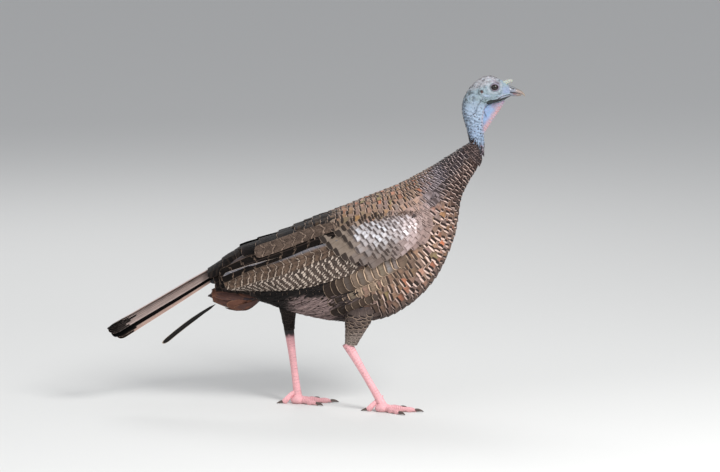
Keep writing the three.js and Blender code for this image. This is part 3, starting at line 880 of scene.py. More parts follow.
def skin_finish():
    """Bare skin: painted tones broken by fine mottling and dark bristle roots, pebbled relief."""
    m = Finish("bare_skin", Subsurface_Weight=0.12, Subsurface_Scale=0.003, Specular_IOR_Level=0.4)
    m.shader.inputs["Subsurface Radius"].default_value = (1.0, 0.5, 0.4)
    place = m.place()
    tone_here = m.attribute("tone", "Color")
    mottle = m.noise(place, 700.0, 3, 0.6)
    broad = m.noise(place, 130.0, 3, 0.6)
    pebbles = m.cells(place, 850.0)
    grain = m.noise(place, 2200.0, 2)
    roots = 1 - m.cells(place, 230.0).step(0.20, 0.36)
    roots = roots * (m.attribute("tone", "Alpha") + m.noise(place, 90.0, 1) - 0.5).step(0.25, 0.5)
    colour = m.tint(mottle.step(0.35, 0.7) * 0.35, tone_here, (0.62, 0.64, 0.70))
    colour = m.tint(broad.step(0.5, 0.75) * 0.4, colour, (1.35, 1.28, 1.28))
    colour = m.tint((1 - pebbles.step(0.1, 0.5)) * 0.25, colour, (1.3, 1.3, 1.3))
    colour = m.blend(roots * 0.85, colour, (0.035, 0.035, 0.05, 1))
    relief = pebbles * 0.9 + mottle * 0.8 + grain * 0.3 + broad * 1.2 + roots * 0.8
    return m.set(Base_Color=colour, Roughness=(0.5 + (mottle - 0.5) * 0.3).clamp(),
        Normal=m.bump(relief, 0.0005, 0.8))


def wattle_finish():
    """Folded throat skin: painted tones, a network of fine creases darkened as painted shade, and a soft
    gloss.
    """
    m = Finish("wattle_skin", Subsurface_Weight=0.2, Subsurface_Scale=0.003, Specular_IOR_Level=0.45)
    place = m.place()
    tone_here = m.attribute("tone", "Color")
    creases = m.cells(place, 620.0, "DISTANCE_TO_EDGE")
    fine = m.noise(place, 900.0, 3, 0.6)
    # Painted shade: darker in the fine creases.
    colour = m.tint((1 - creases.step(0.02, 0.12)) * 0.25, tone_here, (0.62, 0.5, 0.55))
    colour = m.tint(fine.step(0.4, 0.7) * 0.3, colour, (1.25, 1.2, 1.2))
    return m.set(Base_Color=colour, Roughness=(0.42 + fine * 0.2).clamp(),
        Normal=m.bump(creases.step(0.0, 0.25) + fine * 0.5, 0.0004, 0.7))


def horn_finish(horn):
    """Bill: grey at its root and along its ridge, pinkish towards the tip, with streaked growth."""
    m = Finish("bill_horn", Specular_IOR_Level=0.5)
    place = m.place()
    x, _, z = m.split(place)
    streaks = m.noise(m.scale(place, (0.25, 2.2, 2.2)), 900.0, 3, 0.6)
    growth = m.noise(place, 260.0, 3)
    out = ((x - 0.345) / 0.03 + (growth - 0.5) * 0.3).clamp()
    colour = m.blend(out.step(0.28, 0.62), rgba((0.47, 0.49, 0.54)), rgba(horn))
    # Painted shade: the nostril hole is painted near black.
    hole = ((x * 1000 - 351.8) / 4.4) ** 2 + ((z * 1000 - 580.8 + (x * 1000 - 351.8) * 0.45) / 1.3) ** 2
    colour = m.blend(1 - hole.step(0.6, 1.2), colour, (0.015, 0.015, 0.02, 1))
    gape = ((x * 1000 - 356) / 4.5) ** 2 + ((z * 1000 - 571.5) / 2.6) ** 2
    colour = m.blend((1 - gape.step(0.3, 1.3)) * 0.7, colour, rgba((0.40, 0.22, 0.23)))
    colour = m.blend((z * 1000 - 577.0 + (x * 1000 - 360) * 0.45).step(0.0, 3.0) * 0.7, colour,
        rgba((0.42, 0.43, 0.41)))
    colour = m.blend(out.step(0.8, 1.0) * 0.7, colour, rgba((0.60, 0.57, 0.49)))
    colour = m.tint(streaks.step(0.45, 0.75) * 0.35, colour, (0.6, 0.55, 0.53))
    return m.set(Base_Color=colour, Roughness=(0.3 + streaks * 0.25).clamp(), Coat_Weight=0.15,
        Normal=m.bump(streaks + growth * 0.4, 0.0003, 0.5))


def claw_finish():
    m = Finish("claw_horn", Specular_IOR_Level=0.5)
    place = m.place()
    streaks = m.noise(m.scale(place, (1.0, 3.0, 3.0)), 500.0, 3, 0.6)
    colour = m.blend(streaks.step(0.35, 0.7), rgba((0.22, 0.18, 0.17)), rgba((0.42, 0.35, 0.31)))
    return m.set(Base_Color=colour, Roughness=(0.35 + streaks * 0.2).clamp(),
        Normal=m.bump(streaks, 0.0002, 0.5))


def scale_finish():
    """Scaled skin of legs and toes: painted tones, darker between the scales, dusted soles."""
    m = Finish("leg_scales", Specular_IOR_Level=0.45)
    place = m.place()
    _, _, z = m.split(place)
    tone_here = m.attribute("tone", "Color")
    scales = m.cells(place, 520.0, "DISTANCE_TO_EDGE")
    worn = m.noise(place, 260.0, 3, 0.6)
    fine = m.noise(place, 1500.0, 2)
    colour = m.tint((1 - scales.step(0.02, 0.1)) * 0.4, tone_here, (0.55, 0.42, 0.42))
    colour = m.tint(worn.step(0.45, 0.7) * 0.45, colour, (1.3, 1.25, 1.2))
    colour = m.blend((1 - z.step(0.0, 0.012)) * worn * 0.6, colour, (0.16, 0.11, 0.08, 1))
    return m.set(Base_Color=colour, Roughness=(0.42 + worn * 0.2).clamp(),
        Normal=m.bump(scales.step(0.0, 0.15) * 0.6 + fine * 0.25, 0.0004, 0.7))


def eye_finish(iris):
    """A dark brown iris round a black pupil, near black towards its rim, under a wet surface."""
    m = Finish("eye_wet", Roughness=0.1, Specular_IOR_Level=0.4, Coat_Weight=0.35, Coat_Roughness=0.03)
    x, _, z = m.split(m.place())
    out = ((x - EYE["x"] * MM) ** 2 + (z - EYE["z"] * MM) ** 2) ** 0.5 * 1000
    rays = m.noise(m.scale(m.place(), (1.0, 0.2, 1.0)), 900.0, 2)
    colour = m.tint(rays, rgba(iris), (1.9, 1.7, 1.5))
    colour = m.blend(1 - (out - 2.3).step(-0.2, 0.2), colour, (0.004, 0.004, 0.005, 1))
    colour = m.blend((out - 4.3).step(-0.3, 0.3), colour, (0.02, 0.015, 0.014, 1))
    return m.set(Base_Color=colour)


# ---- Settings ----


def tone(name, description, colour):
    return FloatVectorProperty(name=name, description=description, default=colour, size=3, min=0, max=1,
        subtype="COLOR_GAMMA")


class TURKEY_PG_coat(bpy.types.PropertyGroup):
    """Sizes and colours of the feathers."""

    coat_depth: FloatProperty(name="Coat depth", description="How far the skin lies inside the feathers",
        default=6.5 * MM, min=2 * MM, max=12 * MM, unit="LENGTH")
    neck_rows: FloatProperty(name="Neck rows", description="Spacing of the rows at the collar",
        default=6.5 * MM, min=3 * MM, max=15 * MM, unit="LENGTH")
    body_rows: FloatProperty(name="Body rows", description="Spacing of the rows on the breast",
        default=12 * MM, min=5 * MM, max=25 * MM, unit="LENGTH")
    seed: IntProperty(name="Seed", description="Start of the random numbers", default=7, min=0)
    umber: tone("Umber", "Dark feathers of the neck", (0.14, 0.115, 0.112))
    blush: tone("Blush", "Pinkish brown of the shoulder", (0.62, 0.53, 0.51))
    silver: tone("Silver", "Sheen on the shoulder", (0.62, 0.585, 0.58))
    buff: tone("Buff", "Pale fringes of the breast", (0.88, 0.765, 0.715))


class TURKEY_PG_skin(bpy.types.PropertyGroup):
    """Colours of the bare parts."""

    blue: tone("Blue", "Bare head and neck", (0.58, 0.645, 0.715))
    crown: tone("Crown", "Pale top of the head", (0.645, 0.645, 0.665))
    wattle: tone("Wattle", "Pink front of the throat", (0.72, 0.575, 0.58))
    leg: tone("Leg", "Scales of the legs", (0.93, 0.70, 0.72))
    horn: tone("Horn", "Bill", (0.53, 0.46, 0.43))
    eye: tone("Eye", "Iris", (0.10, 0.06, 0.05))


class TURKEY_PG_stage(bpy.types.PropertyGroup):
    """The floor, the lights and the camera."""

    floor: tone("Floor", "Floor and backdrop", (0.86, 0.86, 0.85))
    distance: FloatProperty(name="Distance", description="Camera to the bird", default=8.0, min=1,
        unit="LENGTH")
    elevation: FloatProperty(name="Elevation", description="Camera above the horizon",
        default=math.radians(8), subtype="ANGLE")
    width: FloatProperty(name="Width", description="Breadth that the picture takes in", default=1.296,
        min=0.1, unit="LENGTH")


# ---- Looks of the coat ----


def look(ground, glow, fringe, bar, edge, glowing, barring=0.0, mottle=0.0, sheen=0.0, ink=0.88, rim=0.0):
    """A feather's look as one row of numbers: three colours, then its marks, its grain, how dark
    its bar is and how far a painted blue sheen covers its upper edge."""
    return join([linear(ground), linear(glow), linear(fringe),
        [bar, edge, glowing, barring, mottle, sheen, ink, rim]])


def looks_at(weights, looks):
    """The looks mixed by weights, shape (looks, feathers), as named arrays."""
    weights = np.stack(weights)
    weights = weights / np.maximum(weights.sum(0), 1e-6)
    rows = (weights[..., None] * np.stack(looks)[:, None]).sum(0)
    return {"ground": rows[:, 0:3], "glow": rows[:, 3:6], "fringe": rows[:, 6:9], "marks": rows[:, 9:12],
        "grain": rows[:, 12:15], "extra": rows[:, 15:17]}


# Colours of painted iridescent sheen.
GLOWS = linear([(0.86, 0.50, 0.36), (0.74, 0.56, 0.32), (0.68, 0.57, 0.47), (0.56, 0.55, 0.34),
    (0.50, 0.55, 0.60), (0.76, 0.59, 0.52), (0.54, 0.49, 0.52)])


def vary(rows, rng, spread=0.12, glows=None, odds=None, share=0.0):
    """Makes each feather a little lighter or darker, and gives it a glow from a list by odds."""
    n = len(rows["ground"])
    for key, size in (("ground", spread), ("fringe", spread * 0.5)):
        rows[key] = rows[key] * np.exp(rng.normal(0, size, (n, 1)))
    if glows is not None:
        pick = rng.choice(len(glows), n, p=np.asarray(odds) / np.sum(odds))
        rows["glow"] = mix(rows["glow"], glows[pick], np.reshape(share, (-1, 1)))
        rows["marks"][:, 2] *= rng.uniform(0.15, 1.1, n)
    rows["marks"] = rows["marks"] * np.exp(rng.normal(0, 0.12, (n, 3)))
    return rows


def body_look(t, g, coat, rng):
    """Feathers of the trunk and neck by their place: t along, x from the back (0) to the belly (1)."""
    x = abs(g - 0.5) * 2
    neck = look(coat.umber, (0.34, 0.31, 0.34), (0.68, 0.61, 0.60), 2.0, 1.15, 0.3)
    throat = look((0.24, 0.19, 0.17), (0.46, 0.36, 0.32), (0.74, 0.63, 0.58), 3.4, 1.6, 0.35)
    cape = look((0.24, 0.205, 0.205), (0.40, 0.36, 0.36), (0.60, 0.54, 0.54), 2.4, 1.4, 0.5, barring=0.5)
    # The pale look on the upper back of the neck is a painted sheen of light.
    crest_sheen = look((0.33, 0.31, 0.33), (0.60, 0.58, 0.63), (0.70, 0.66, 0.69), 2.2, 1.5, 0.9)
    mantle = look((0.50, 0.42, 0.37), (0.78, 0.58, 0.38), (0.76, 0.65, 0.58), 3.0, 1.3, 0.75)
    shoulder = look(coat.blush, (0.66, 0.57, 0.55), (0.76, 0.67, 0.64), 1.4, 0.8, 0.5, ink=0.6)
    breast = look((0.49, 0.405, 0.36), (0.80, 0.58, 0.46), coat.buff, 4.6, 3.1, 0.9, ink=0.86)
    flank = look((0.44, 0.37, 0.33), (0.66, 0.52, 0.42), (0.68, 0.59, 0.51), 4.0, 1.3, 0.6, ink=0.7)
    # The dark look on the rear flank under the wing is painted shade of the wing.
    dark_in_shade = look((0.17, 0.14, 0.13), (0.34, 0.29, 0.27), (0.55, 0.47, 0.41), 4.0, 1.0, 0.3)
    # The belly look is darker along the underside: partly the hen's own dark belly and partly painted shade
    # under the body.
    belly = look((0.15, 0.125, 0.125), (0.34, 0.30, 0.30), (0.46, 0.39, 0.36), 2.0, 0.9, 0.2)
    back = look((0.075, 0.06, 0.058), (0.34, 0.27, 0.21), (0.62, 0.53, 0.46), 5.0, 0.8, 0.45)
    hind = look((0.05, 0.042, 0.042), (0.24, 0.19, 0.16), (0.54, 0.46, 0.40), 5.0, 0.6, 0.2)
    high = fall(0.22, 0.4, x)
    low = smooth(0.42, 0.56, x)
    on_neck = smooth(0.76, 0.84, t)
    fore = smooth(0.36, 0.47, t + rng.normal(0, 0.018, t.shape))
    side = smooth(0.2, 0.3, t) * fall(0.56, 0.66, t) * smooth(0.40, 0.47, x) * fall(0.62, 0.72, x)
    weights = [on_neck * (1 - low * 0.6), on_neck * low + smooth(0.66, 0.76, t) * low * 0.9 * (1 - on_neck),
        smooth(0.68, 0.74, t) * (1 - on_neck) * smooth(0.2, 0.32, x) * (1 - low) * 1.2,
        smooth(0.68, 0.74, t) * fall(0.80, 0.88, t) * smooth(0.06, 0.14, x) * fall(0.28, 0.42, x) * 2.5,
        fore * (1 - on_neck) * high, smooth(0.48, 0.58, t) * fall(0.62, 0.74, t) * (1 - high) * (1 - low)
        * 1.2, smooth(0.40, 0.52, t) * (1 - on_neck) * low * (1 - 0.9 * side),
        side * 2.5 * smooth(0.40, 0.45, t), side * 2.5 * fall(0.40, 0.45, t),
        fall(0.46, 0.6, t) * smooth(0.68, 0.82, x) + smooth(0.78, 0.92, x) * fall(0.64, 0.78, t) * 2.6,
        (1 - fore) * smooth(0.16, 0.3, t) * fall(0.3, 0.45, x), fall(0.16, 0.3, t) * fall(0.6, 0.8, x)]
    rows = looks_at(weights, [neck, throat, cape, crest_sheen, mantle, shoulder, breast, flank, dark_in_shade, belly, back,
        hind])
    bright = (weights[4] + weights[6]) / np.maximum(sum(weights), 1e-6)
    return vary(rows, rng, 0.15, GLOWS, [4, 4, 6, 2, 2, 4, 2], 0.85 * bright)


def in_wing(t, g):
    """A place on the body seen from the folded wing: its share of the wing's length, and how far
    it lies below the wing's upper edge and above its lower one, in shares of a rib."""
    top, bottom = BODY.section(t)[:2]
    point, run = BODY_SHEET.pick(BODY_SHEET.points, t, g), bottom - top
    down = ((point[..., [0, 2]] - top) * run).sum(-1) / (run**2).sum(-1)
    l = (t - WING["stretch"][0]) / (WING["stretch"][1] - WING["stretch"][0])
    return l, down - along(WING["upper"], l), along(WING["lower"], l) - down


def wing_cover(t, g):
    """How far inside the folded wing's outline a place on the body lies, in shares of a rib."""
    l, below, above = in_wing(t, g)
    return np.where((l < 0.02) | (l > 0.97), -1, np.minimum(below, above))


# ---- Operators ----


def relieved(loft, rows, columns, relief, start=0.0, inset=0.0):
    """Rings of a loft, evenly spaced along its length, each point moved along its normal by
    relief(points) millimetres less the inset."""
    t = np.linspace(start, 1, 400)
    line = loft.around(t, np.full_like(t, 0.25))
    run = join([[0], np.cumsum(norm(np.diff(line, axis=0), axis=1))])
    t = np.interp(np.linspace(0, run[-1], rows + 1), run, t)
    t, turn = net(t, np.linspace(-0.5, 0.5, columns + 1))
    sheet = Sheet(loft.around(t, turn), closed=True)
    rings, normal = sheet.points[:, :-1], sheet.normal[:, :-1]
    centre = rings.mean(1, keepdims=True)
    normal = normal * np.sign(((rings - centre) * normal).sum(-1).mean())
    heights = relief(rings) if callable(relief) else np.full(rings.shape[:2], relief)
    return rings + normal * ((heights - inset) * MM)[..., None]


def tinted(colour, points, seed=0, size=0.012, spread=0.12):
    """A painted tone over points: one colour made lighter and darker by smooth noise."""
    shade = np.exp(spread * fractal(points, size, 3, seed))[..., None]
    rgb = np.broadcast_to(linear(colour), points.shape) * shade
    return join([rgb, np.ones(points.shape[:-1] + (1,))], -1)


def wash(tone, colour, share):
    """Moves a painted tone towards a colour by a share."""
    tone[..., :3] = mix(tone[..., :3], linear(colour), share[..., None])


def half_width_at(x, z):
    """The head's half width at the point of it nearest to (x, z) in the side view."""
    points = HEAD_SHEET.points.reshape(-1, 3) / MM
    return abs(points[np.hypot(points[:, 0] - x, points[:, 2] - z).argmin(), 1])


EYE_SURFACE = half_width_at(EYE["x"], EYE["z"])
EYE_CENTRE = EYE_SURFACE + 0.9 - EYE["radius"]
LID = (5.5, 4.6)  # half breadth and half height of the opening between the lids


def near_line(x, z, line):
    """Distance in the side view from points to a broken line."""
    best = np.full(np.shape(x), 1e9)
    for (ax, az), (bx, bz) in zip(line[:-1], line[1:]):
        share = ((x - ax) * (bx - ax) + (z - az) * (bz - az)) / ((bx - ax) ** 2 + (bz - az) ** 2)
        share = np.clip(share, 0, 1)
        best = np.minimum(best, np.hypot(x - mix(ax, bx, share), z - mix(az, bz, share)))
    return best


MOUTH = [(350, 570.8), (341, 568.6), (333, 567.2), (327.5, 563.8), (324, 559.5)]
JAW = [(350, 569), (337, 563), (324, 559.5), (310, 556)]
EAR = (296.2, 576.2)
DEWLAP_EDGE = (500, 511, 524, 536, 546, 556), (301, 309, 318, 326, 333, 338)  # levels and their x


def head_relief(points):
    """Height of the bare skin's folds in millimetres: sockets pressed in round the eyes, a brow,
    ringed creases, an ear hollow in a raised ring, a mouth line over a fold, cheek creases,
    bands of wrinkles round the neck, and warts that grow towards the collar."""
    x, _, z = xyz(points)
    eye = np.hypot((x - EYE["x"]) / 1.15, z - EYE["z"])
    ear = np.hypot((x - EAR[0]) / 1.25, z - EAR[1])
    mouth = near_line(x, z, MOUTH)
    face = smooth(548, 560, z)
    low = fall(528, 556, z)
    creased = fractal(points * (1.0, 1.0, 2.2), 0.0075, 3, 5)
    h = -1.5 * fall(5.5, 9.5, eye) - 4.0 * fall(4.3, 5.6, eye)
    h += 0.9 * hill(x - 321, 7.5, z - 593.5, 2.6)
    h += 0.7 * hill(x - 331, 3.5, z - 590, 2.6)
    h += 0.32 * np.sin(eye * 2 * np.pi / 2.1 + creased * 2.2) * smooth(7, 8.5, eye) * fall(12, 16, eye)
    h += -2.2 * fall(1.2, 3.0, ear) + 0.8 * hill(ear - 4.4, 1.1)
    h += face * (-0.9 * hill(mouth, 0.7) + 0.55 * hill(mouth - 1.7, 0.8))
    ridged = 1 - abs(fractal(points, 0.0062, 3, 9)) * 2.2
    h += face * 0.8 * (ridged - 0.35) * smooth(8, 13, eye) * fall(335, 345, x)
    h += 0.4 * fractal(points, 0.0028, 2, 3)
    tilt = z + 0.32 * (x - 285)
    bands = np.sin(tilt * 2 * np.pi / 6.4 + creased * 2.6)
    h += low * (0.55 * np.where(bands > 0, bands, 1.5 * bands) * (0.6 + 0.5 * creased)
        + 0.5 * fractal(points, 0.0042, 2, 13))
    warts = np.clip(noise(points, 0.0052, 21) - 0.15, 0, 1)
    h += 1.5 * warts * fall(472, 530, z) + 0.5 * warts * low
    h += -0.7 * np.exp(-((near_line(x, z, [(300, 566), (290, 552), (286, 538)]) / 1.6) ** 2))
    return h


def head_tone(points, height, skin):
    """Painted tones of the bare skin: pale blue-grey, greyer on the crown, brown-violet at the
    eye, painted shadow in a dark band under the jaw, brown at the ear, a dusky nape, and painted
    shade darkening every crease. The last channel says how thickly dark bristle roots stand."""
    x, y, z = xyz(points)
    eye = np.hypot((x - EYE["x"]) / 1.15, z - EYE["z"])
    ear = np.hypot((x - EAR[0]) / 0.9, (z - EAR[1]) / 1.2)
    rgb = np.broadcast_to(linear(skin.blue), points.shape).copy()

    def paint(colour, share):
        wash(rgb, colour, np.clip(share, 0, 1))

    flow = fractal(points, 0.011, 3, 31)
    fine = fractal(points, 0.0035, 3, 41)
    nape_x = np.interp(z, (457, 492, 540, 564, 591), (277, 270.5, 263, 266, 284))
    throat_x = np.interp(z, (457, 492, 529, 549), (300, 301, 300, 306))
    face = smooth(545, 566, z)
    paint((0.50, 0.56, 0.585), face * 0.9)
    paint((0.52, 0.60, 0.58), smooth(0.1, 0.8, flow) * face * 0.7)
    paint((0.60, 0.66, 0.75), smooth(0.2, 0.9, -flow) * 0.6)
    paint((0.46, 0.54, 0.65), fall(500, 545, z) * 0.5)
    paint(skin.crown, smooth(588, 598, z + 0.35 * (320 - x) + 2 * flow) * 0.85)
    paint((0.60, 0.63, 0.66), 0.7 * hill(eye - 10.5, 1.6))
    paint((0.36, 0.26, 0.31), 0.9 * hill(x - 324.5, 4.8, z - 590.5, 3.0))
    paint((0.56, 0.42, 0.50), 0.6 * hill(x - 318.5, 4.0, z - 594.5, 1.6))
    paint((0.36, 0.30, 0.35), 0.6 * fall(6.5, 8.6, eye))
    paint((0.50, 0.54, 0.66), 0.7 * smooth(329, 338, x) * fall(580, 588, z) * smooth(570, 574, z))
    paint((0.30, 0.22, 0.21), 0.85 * fall(1.8, 3.4, ear))
    paint((0.55, 0.38, 0.34), 0.75 * fall(1.2, 2.4, np.hypot(x - EAR[0] - 1.0, (z - EAR[1]) / 1.3)))
    paint((0.15, 0.19, 0.17), 0.9 * hill(x - EAR[0] + 4.6, 1.4, z - EAR[1] + 1.0, 4.0))
    # Painted shadow: the near-black band along the jaw and the dark line behind it stand for the shade in
    # the groove between the jaw and the dewlap.
    band = near_line(x, z, JAW)
    paint((0.07, 0.09, 0.085), 0.96 * fall(2.9, 3.9, band + 0.07 * (x - 322) + 0.5 * fine))
    crease = near_line(x, z, [(310, 556), (302, 556.5), (295, 560.5)])
    paint((0.20, 0.25, 0.26), 0.75 * fall(0.5, 1.3, crease + 0.4 * fine))
    paint((0.24, 0.36, 0.31), 0.8 * fall(0.2, 0.6, band + 0.8 * fine) * smooth(0.1, 0.4, flow + fine))
    paint((0.22, 0.20, 0.23), 0.85 * np.exp(-((near_line(x, z, MOUTH) / 0.75) ** 2)))
    paint((0.62, 0.61, 0.67), 0.7 * np.exp(-(((near_line(x, z, MOUTH) - 2.0) / 0.8) ** 2))
        * smooth(560, 566, z) * (z < 570))
    front = smooth(-6, -1, x - throat_x)
    paint(skin.wattle, 0.35 * front * fall(540, 552, z) * smooth(490, 510, z))
    paint((0.90, 0.80, 0.84), 0.85 * front * smooth(-0.1, 0.2, flow) * fall(470, 480, z))
    paint((0.55, 0.22, 0.28), 0.8 * hill(x - 296, 1.8, z - 477, 2.0))
    back = fall(2, 8, x - nape_x)
    paint((0.28, 0.30, 0.35), back * 0.25 * smooth(0.0, 0.4, fine) * fall(580, 598, z))
    # Painted shade: the tones darken in every crease and hollow of the relief.
    rgb = rgb * mix(0.5, 1.08, smooth(-1.0, 0.25, height))[..., None] * np.exp(0.10 * fine)[..., None]
    roots = 0.22 + 0.6 * fall(500, 560, z) + 0.3 * smooth(586, 598, z) + 0.5 * back
    return join([rgb, np.clip(roots, 0, 1)[..., None]], -1)


class TURKEY_OT_skin(bpy.types.Operator):
    """One skin over trunk, neck, head and limbs, inside the feathers by the coat's depth"""

    bl_idname = "turkey.skin"
    bl_label = "Skin"

    def execute(self, context):
        coat, skin = context.scene.turkey_coat, context.scene.turkey_skin
        parts = Parts()
        t, turn = net(np.linspace(0, 0.985, 90), np.linspace(-0.5, 0.5, SKIN_COLUMNS + 1))
        trunk = Sheet(BODY.around(t, turn), closed=True)
        depth = coat.coat_depth * (1 - 0.15 * smooth(0.9, 1.0, t)) + 7 * MM * fall(0.0, 0.09, t)
        trunk = (trunk.points - trunk.normal * depth[..., None])[:, :-1]
        head = relieved(HEAD, 236, SKIN_COLUMNS, head_relief, start=0.02)
        plain = relieved(HEAD, 236, SKIN_COLUMNS, 0.0, start=0.02)
        rings = join([trunk, head])
        share = abs(turn[:, :-1]) * 2
        looks = body_look(t[:, :-1].ravel(), 0.5 + turn[:, :-1].ravel(), coat, dice(1))
        under = looks["ground"].reshape(share.shape + (3,)) * 0.75
        under = join([under, np.ones(share.shape + (1,))], -1)
        parts.tube(rings, tone=join([under, head_tone(plain, head_relief(plain), skin)]))
        for name, loft in THIGHS.items():
            rings = relieved(loft, 24, 28, 0.0, inset=3.5)
            parts.tube(rings, tone=tinted((0.30, 0.25, 0.25), rings))
        for name, side in SIDES.items():
            sheet = WING_SHEETS[name]
            down = np.linspace(0, 1, sheet.points.shape[1])[None, :, None]
            outer = (sheet.points - sheet.normal * (4.2 + 5 * smooth(0.5, 0.85, down)) * MM)[3:-6:3, 3:-3:2]
            deep = (along((6, 9, 16, 18, 16, 12), np.linspace(0, 1, len(sheet.points))) - 1.0) * MM
            deep = np.maximum(deep[:, None, None], (5.5 + 5 * smooth(0.5, 0.85, down)) * MM)
            inner = (sheet.points - sheet.normal * deep)[3:-6:3, 3:-3:2]
            rings = join([outer, inner[:, ::-1]], axis=1)
            parts.tube(rings, tone=tinted((0.27, 0.22, 0.21), rings))
        rings = relieved(VENT, 20, 28, 0.0, inset=3.0)
        parts.tube(rings, tone=tinted((0.26, 0.2, 0.19), rings))
        for side in SIDES.values():
            rings = self.lid(side)
            tone = tinted((0.50, 0.48, 0.54), rings, 3, 0.003, 0.2)
            far = np.hypot((rings[..., 0] / MM - EYE["x"]) / LID[0],
                (rings[..., 2] / MM - EYE["z"]) / LID[1])
            tone[..., :3] = mix(linear((0.26, 0.20, 0.23)), tone[..., :3],
                smooth(1.08, 1.4, far)[..., None])
            tone[..., 3] = 0.1
            parts.ring_tube(rings, tone=tone)
        parts.piece("skin", skin_finish(), "bare_skin", "head", "neck_bare", "neck_feathered", "trunk",
            "thigh_left", "thigh_right")
        return {"FINISHED"}

    def lid(self, side):
        """A ring round the eye: its section runs from the rim on the ball out to the skin, thick
        in the middle, with creases across it."""
        a, q = net(np.linspace(0, 2 * np.pi, 97)[:-1], np.linspace(0, 2 * np.pi, 15)[:-1])
        out = (1 - np.cos(q)) / 2
        wide = 3.1 + 0.5 * np.cos(a)
        rx, rz = LID[0] + wide * out, LID[1] + wide * out
        corner = 1 + 0.10 * abs(np.cos(a)) ** 6 * (1 - out)
        dx, dz = rx * corner * np.cos(a), rz * np.sin(a)
        radius = EYE["radius"]
        rim = EYE_CENTRE + np.sqrt(np.maximum(radius**2 - (LID[0] * np.cos(a)) ** 2
            - (LID[1] * np.sin(a)) ** 2, 1)) + 0.2
        crease = 0.16 * np.sin(out * 15 + 0.8 * np.sin(5 * a)) + 0.08 * np.sin(31 * a)
        y = mix(rim, EYE_SURFACE - 1.5, out) + (0.75 + crease) * np.sin(q)
        point = stack(EYE["x"] + dx, side * y, EYE["z"] + dz) * MM
        return point


class TURKEY_OT_eyes(bpy.types.Operator):
    """Two wet eyeballs with iris and pupil"""

    bl_idname = "turkey.eyes"
    bl_label = "Eyes"

    def execute(self, context):
        material = eye_finish(context.scene.turkey_skin.eye)
        for name, side in SIDES.items():
            a, b = net(np.linspace(0.02, np.pi - 0.02, 28), np.linspace(0, 2 * np.pi, 41)[:-1])
            radius = EYE["radius"] * (1 + 0.035 * fall(0, 0.7, a))
            ball = stack(radius * np.sin(a) * np.cos(b), side * radius * np.cos(a),
                radius * np.sin(a) * np.sin(b))
            parts = Parts()
            parts.tube((ball + (EYE["x"], side * EYE_CENTRE, EYE["z"])) * MM)
            parts.piece("eyeball_" + name, material, "eye", "eye_" + name)
        return {"FINISHED"}


class TURKEY_OT_bill(bpy.types.Operator):
    """Upper and lower bill with nostrils and growth ridges"""

    bl_idname = "turkey.bill"
    bl_label = "Bill"

    def execute(self, context):
        material = horn_finish(context.scene.turkey_skin.horn)

        def upper(points):
            x, y, z = xyz(points)
            hole = ((x - 351.8) / 3.6) ** 2 + ((z - 580.8 + 0.45 * (x - 351.8)) / 1.2) ** 2
            swell = hill(x - 352, 5, z - 579.5, 3.0)
            ridge = 0.25 * hill(y, 1.6) * smooth(576, 582, z)
            return (-1.3 * fall(0.3, 1.2, hole) + 0.45 * swell + ridge + 0.12 * fractal(points, 0.003, 3, 2)
                - 0.35 * hill(x - 359, 1.2))

        for name, ribs, relief in (("upper", UPPER_BILL_RIBS, upper),
                ("lower", LOWER_BILL_RIBS, lambda p: 0.12 * fractal(p, 0.003, 3, 4))):
            parts = Parts()
            parts.tube(relieved(Loft(ribs), 64, 56, relief))
            parts.piece("bill_" + name + "_horn", material, "bill_horn", "bill_" + name)
        return {"FINISHED"}


class TURKEY_OT_wattles(bpy.types.Operator):
    """The snood over the bill and the folded dewlap under the throat"""

    bl_idname = "turkey.wattles"
    bl_label = "Snood and dewlap"

    def execute(self, context):
        skin = context.scene.turkey_skin
        ribs = SNOOD_RIBS + [(352.6, 594.7, 352.7, 592.8, 1.0)]

        def wrinkles(points):
            x = points[..., 0] / MM
            return 0.12 * np.sin(x * 2 * np.pi / 2.6 + 2 * fractal(points, 0.004, 2,
                8)) + 0.1 * fractal(points, 0.003, 2, 6)

        rings = relieved(Loft(ribs), 48, 32, wrinkles)
        tone = tinted((0.65, 0.67, 0.635), rings, 2, 0.004, 0.05)
        parts = Parts()
        parts.tube(rings, tone=tone)
        parts.piece("snood_skin", wattle_finish(), "bare_skin", "snood")

        def folds(points):
            x, y, z = xyz(points)
            sway = fractal(points, 0.012, 2, 12)
            edge = smooth(-9, 0, x - np.interp(z, *DEWLAP_EDGE))
            pleats = np.sin((z + 0.5 * x) * 2 * np.pi / 5.0 + sway * 3)
            return (0.3 * pleats * (0.35 + edge) + 0.5 * fractal(points, 0.004, 3, 14)
                + 0.7 * np.clip(noise(points, 0.0045, 16), 0, 1) * edge)

        rings = relieved(Loft(DEWLAP_RIBS), 110, 64, folds)
        x, _, z = xyz(rings)
        edge = smooth(-14, -5, x - np.interp(z, *DEWLAP_EDGE))
        edge = edge * (1 - 0.7 * smooth(543, 551, z))
        fine = fractal(rings, 0.004, 3, 18)
        tone = tinted((0.53, 0.62, 0.75), rings, 5, 0.006, 0.15)
        high = smooth(538, 550, z + 0.3 * (x - 320)) * smooth(306, 320, x)
        wash(tone, (0.56, 0.53, 0.61), high)
        # Painted shade: the dewlap darkens along the fold where it meets the throat.
        seam = near_line(x, z, [(303, 552), (300.5, 541), (305, 530)])
        tone[..., :3] *= mix(0.35, 1, smooth(0.5, 1.6, seam))[..., None]
        wash(tone, skin.wattle, np.clip(edge * (0.8 + 0.35 * fine), 0, 1))
        parts = Parts()
        parts.tube(rings, tone=tone)
        parts.piece("dewlap_skin", wattle_finish(), "wattle_skin", "dewlap")
        return {"FINISHED"}


